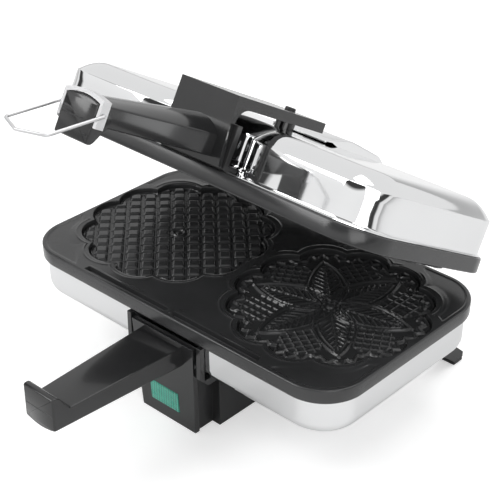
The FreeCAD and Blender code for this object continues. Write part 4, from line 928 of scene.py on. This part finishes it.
def camera():
    """Stands back along one bearing and looks level with the plate, a little above its middle."""
    bearing, climb = math.radians(42.81), math.radians(30.81)
    level = math.cos(climb)
    back = Vector((math.sin(bearing) * level, -math.cos(bearing) * level, math.sin(climb)))
    right = Vector((math.cos(bearing), math.sin(bearing), 0))
    up = back.cross(right)
    eye = bpy.data.cameras.new("camera")
    eye.sensor_width = 36.0
    eye.lens = 97.0
    eye.clip_start, eye.clip_end = 0.05, 50
    item = bpy.data.objects.new("camera", eye)
    bpy.context.scene.collection.objects.link(item)
    item.location = Vector(PLATE_ORIGIN) + back * 0.8908 + right * 0.0004 + up * 0.01004
    item.rotation_mode = "QUATERNION"
    item.rotation_quaternion = (-back).to_track_quat("-Z", "Y")
    bpy.context.scene.camera = item


def stage():
    size = 6.0
    mesh = bpy.data.meshes.new("floor")
    corners = [(-size, -size, 0), (size, -size, 0), (size, size, 0), (-size, size, 0)]
    mesh.from_pydata(corners, [], [(0, 1, 2, 3)])
    mesh.materials.append(floor_material())
    floor = bpy.data.objects.new("floor", mesh)
    bpy.context.scene.collection.objects.link(floor)
    backdrop_world()
    softbox("key", (-0.9, -1.1, 1.5), (0, 0, 0.1), (0.9, 0.9), 13)
    softbox("fill", (1.5, -0.9, 1.0), (0, 0, 0.1), (1.1, 1.1), 8)
    softbox("top", (0.1, 0.6, 1.8), (0, 0, 0.1), (1.4, 1.0), 12)
    camera()
    scene = bpy.context.scene
    scene.view_settings.view_transform = "Standard"


# ------------------------------------------------------------ operators

class IRON_OT_plates(bpy.types.Operator):
    """Make both cast grid plates"""
    bl_idname = "iron.plates"
    bl_label = "Grid plates"

    def execute(self, context):
        grid_plate(lid=False)
        grid_plate(lid=True)
        return {"FINISHED"}


class IRON_OT_beds(bpy.types.Operator):
    """Make the lattice beds and the flower beds"""
    bl_idname = "iron.beds"
    bl_label = "Cookie beds"

    def execute(self, context):
        cookie_bed("base_lattice_bed", -1, lattice_relief, lid=False)
        cookie_bed("base_flower_bed", 1, flower_relief, lid=False)
        cookie_bed("lid_lattice_bed", -1, lattice_relief, lid=True)
        cookie_bed("lid_flower_bed", 1, flower_relief, lid=True)
        return {"FINISHED"}


class IRON_OT_skins(bpy.types.Operator):
    """Make the chrome tray, lid cover and rear hood"""
    bl_idname = "iron.skins"
    bl_label = "Chrome skins"

    def execute(self, context):
        base_tray()
        lid_cover()
        rear_hood()
        return {"FINISHED"}


class IRON_OT_handles(bpy.types.Operator):
    """Make the two handles"""
    bl_idname = "iron.handles"
    bl_label = "Handles"

    def execute(self, context):
        handle("base_handle", -80.6, turned=True, lid=False)
        handle("lid_handle", -83.4, turned=False, lid=True)
        return {"FINISHED"}


class IRON_OT_latch(bpy.types.Operator):
    """Make the latch wire"""
    bl_idname = "iron.latch"
    bl_label = "Latch wire"

    def execute(self, context):
        latch_wire()
        return {"FINISHED"}


class IRON_OT_lens(bpy.types.Operator):
    """Make the indicator lens"""
    bl_idname = "iron.lens"
    bl_label = "Indicator lens"

    def execute(self, context):
        indicator_lens()
        return {"FINISHED"}


class IRON_OT_mouldings(bpy.types.Operator):
    """Dress the leg, feet, brackets, hinge and screws, and finish the inner parts"""
    bl_idname = "iron.mouldings"
    bl_label = "Leg, brackets and fittings"

    def execute(self, context):
        for node in DRESSED:
            dress(node)
        hidden_materials()
        return {"FINISHED"}


class IRON_OT_stage(bpy.types.Operator):
    """Set the floor, lights and camera"""
    bl_idname = "iron.stage"
    bl_label = "Stage"

    def execute(self, context):
        stage()
        return {"FINISHED"}


class IRON_PT_panel(bpy.types.Panel):
    """Lists the settings and the steps"""
    bl_idname = "IRON_PT_panel"
    bl_label = "Pizzelle iron"
    bl_space_type = "VIEW_3D"
    bl_region_type = "UI"
    bl_category = "Iron"

    def draw(self, context):
        for name in IronSettings.__annotations__:
            self.layout.prop(context.scene.iron_settings, name)
        for operator in OPERATORS:
            self.layout.operator(operator.bl_idname)


OPERATORS = (IRON_OT_plates, IRON_OT_beds, IRON_OT_skins, IRON_OT_handles, IRON_OT_latch, IRON_OT_lens,
             IRON_OT_mouldings, IRON_OT_stage)
CLASSES = (IronSettings, *OPERATORS, IRON_PT_panel)


def register():
    for item in CLASSES:
        bpy.utils.register_class(item)
    bpy.types.Scene.iron_settings = bpy.props.PointerProperty(type=IronSettings)


def unregister():
    del bpy.types.Scene.iron_settings
    for item in reversed(CLASSES):
        bpy.utils.unregister_class(item)


def main():
    register()
    bpy.ops.iron.plates()
    bpy.ops.iron.beds()
    bpy.ops.iron.skins()
    bpy.ops.iron.handles()
    bpy.ops.iron.latch()
    bpy.ops.iron.lens()
    bpy.ops.iron.mouldings()
    bpy.ops.iron.stage()


if __name__ == "__main__":
    main()
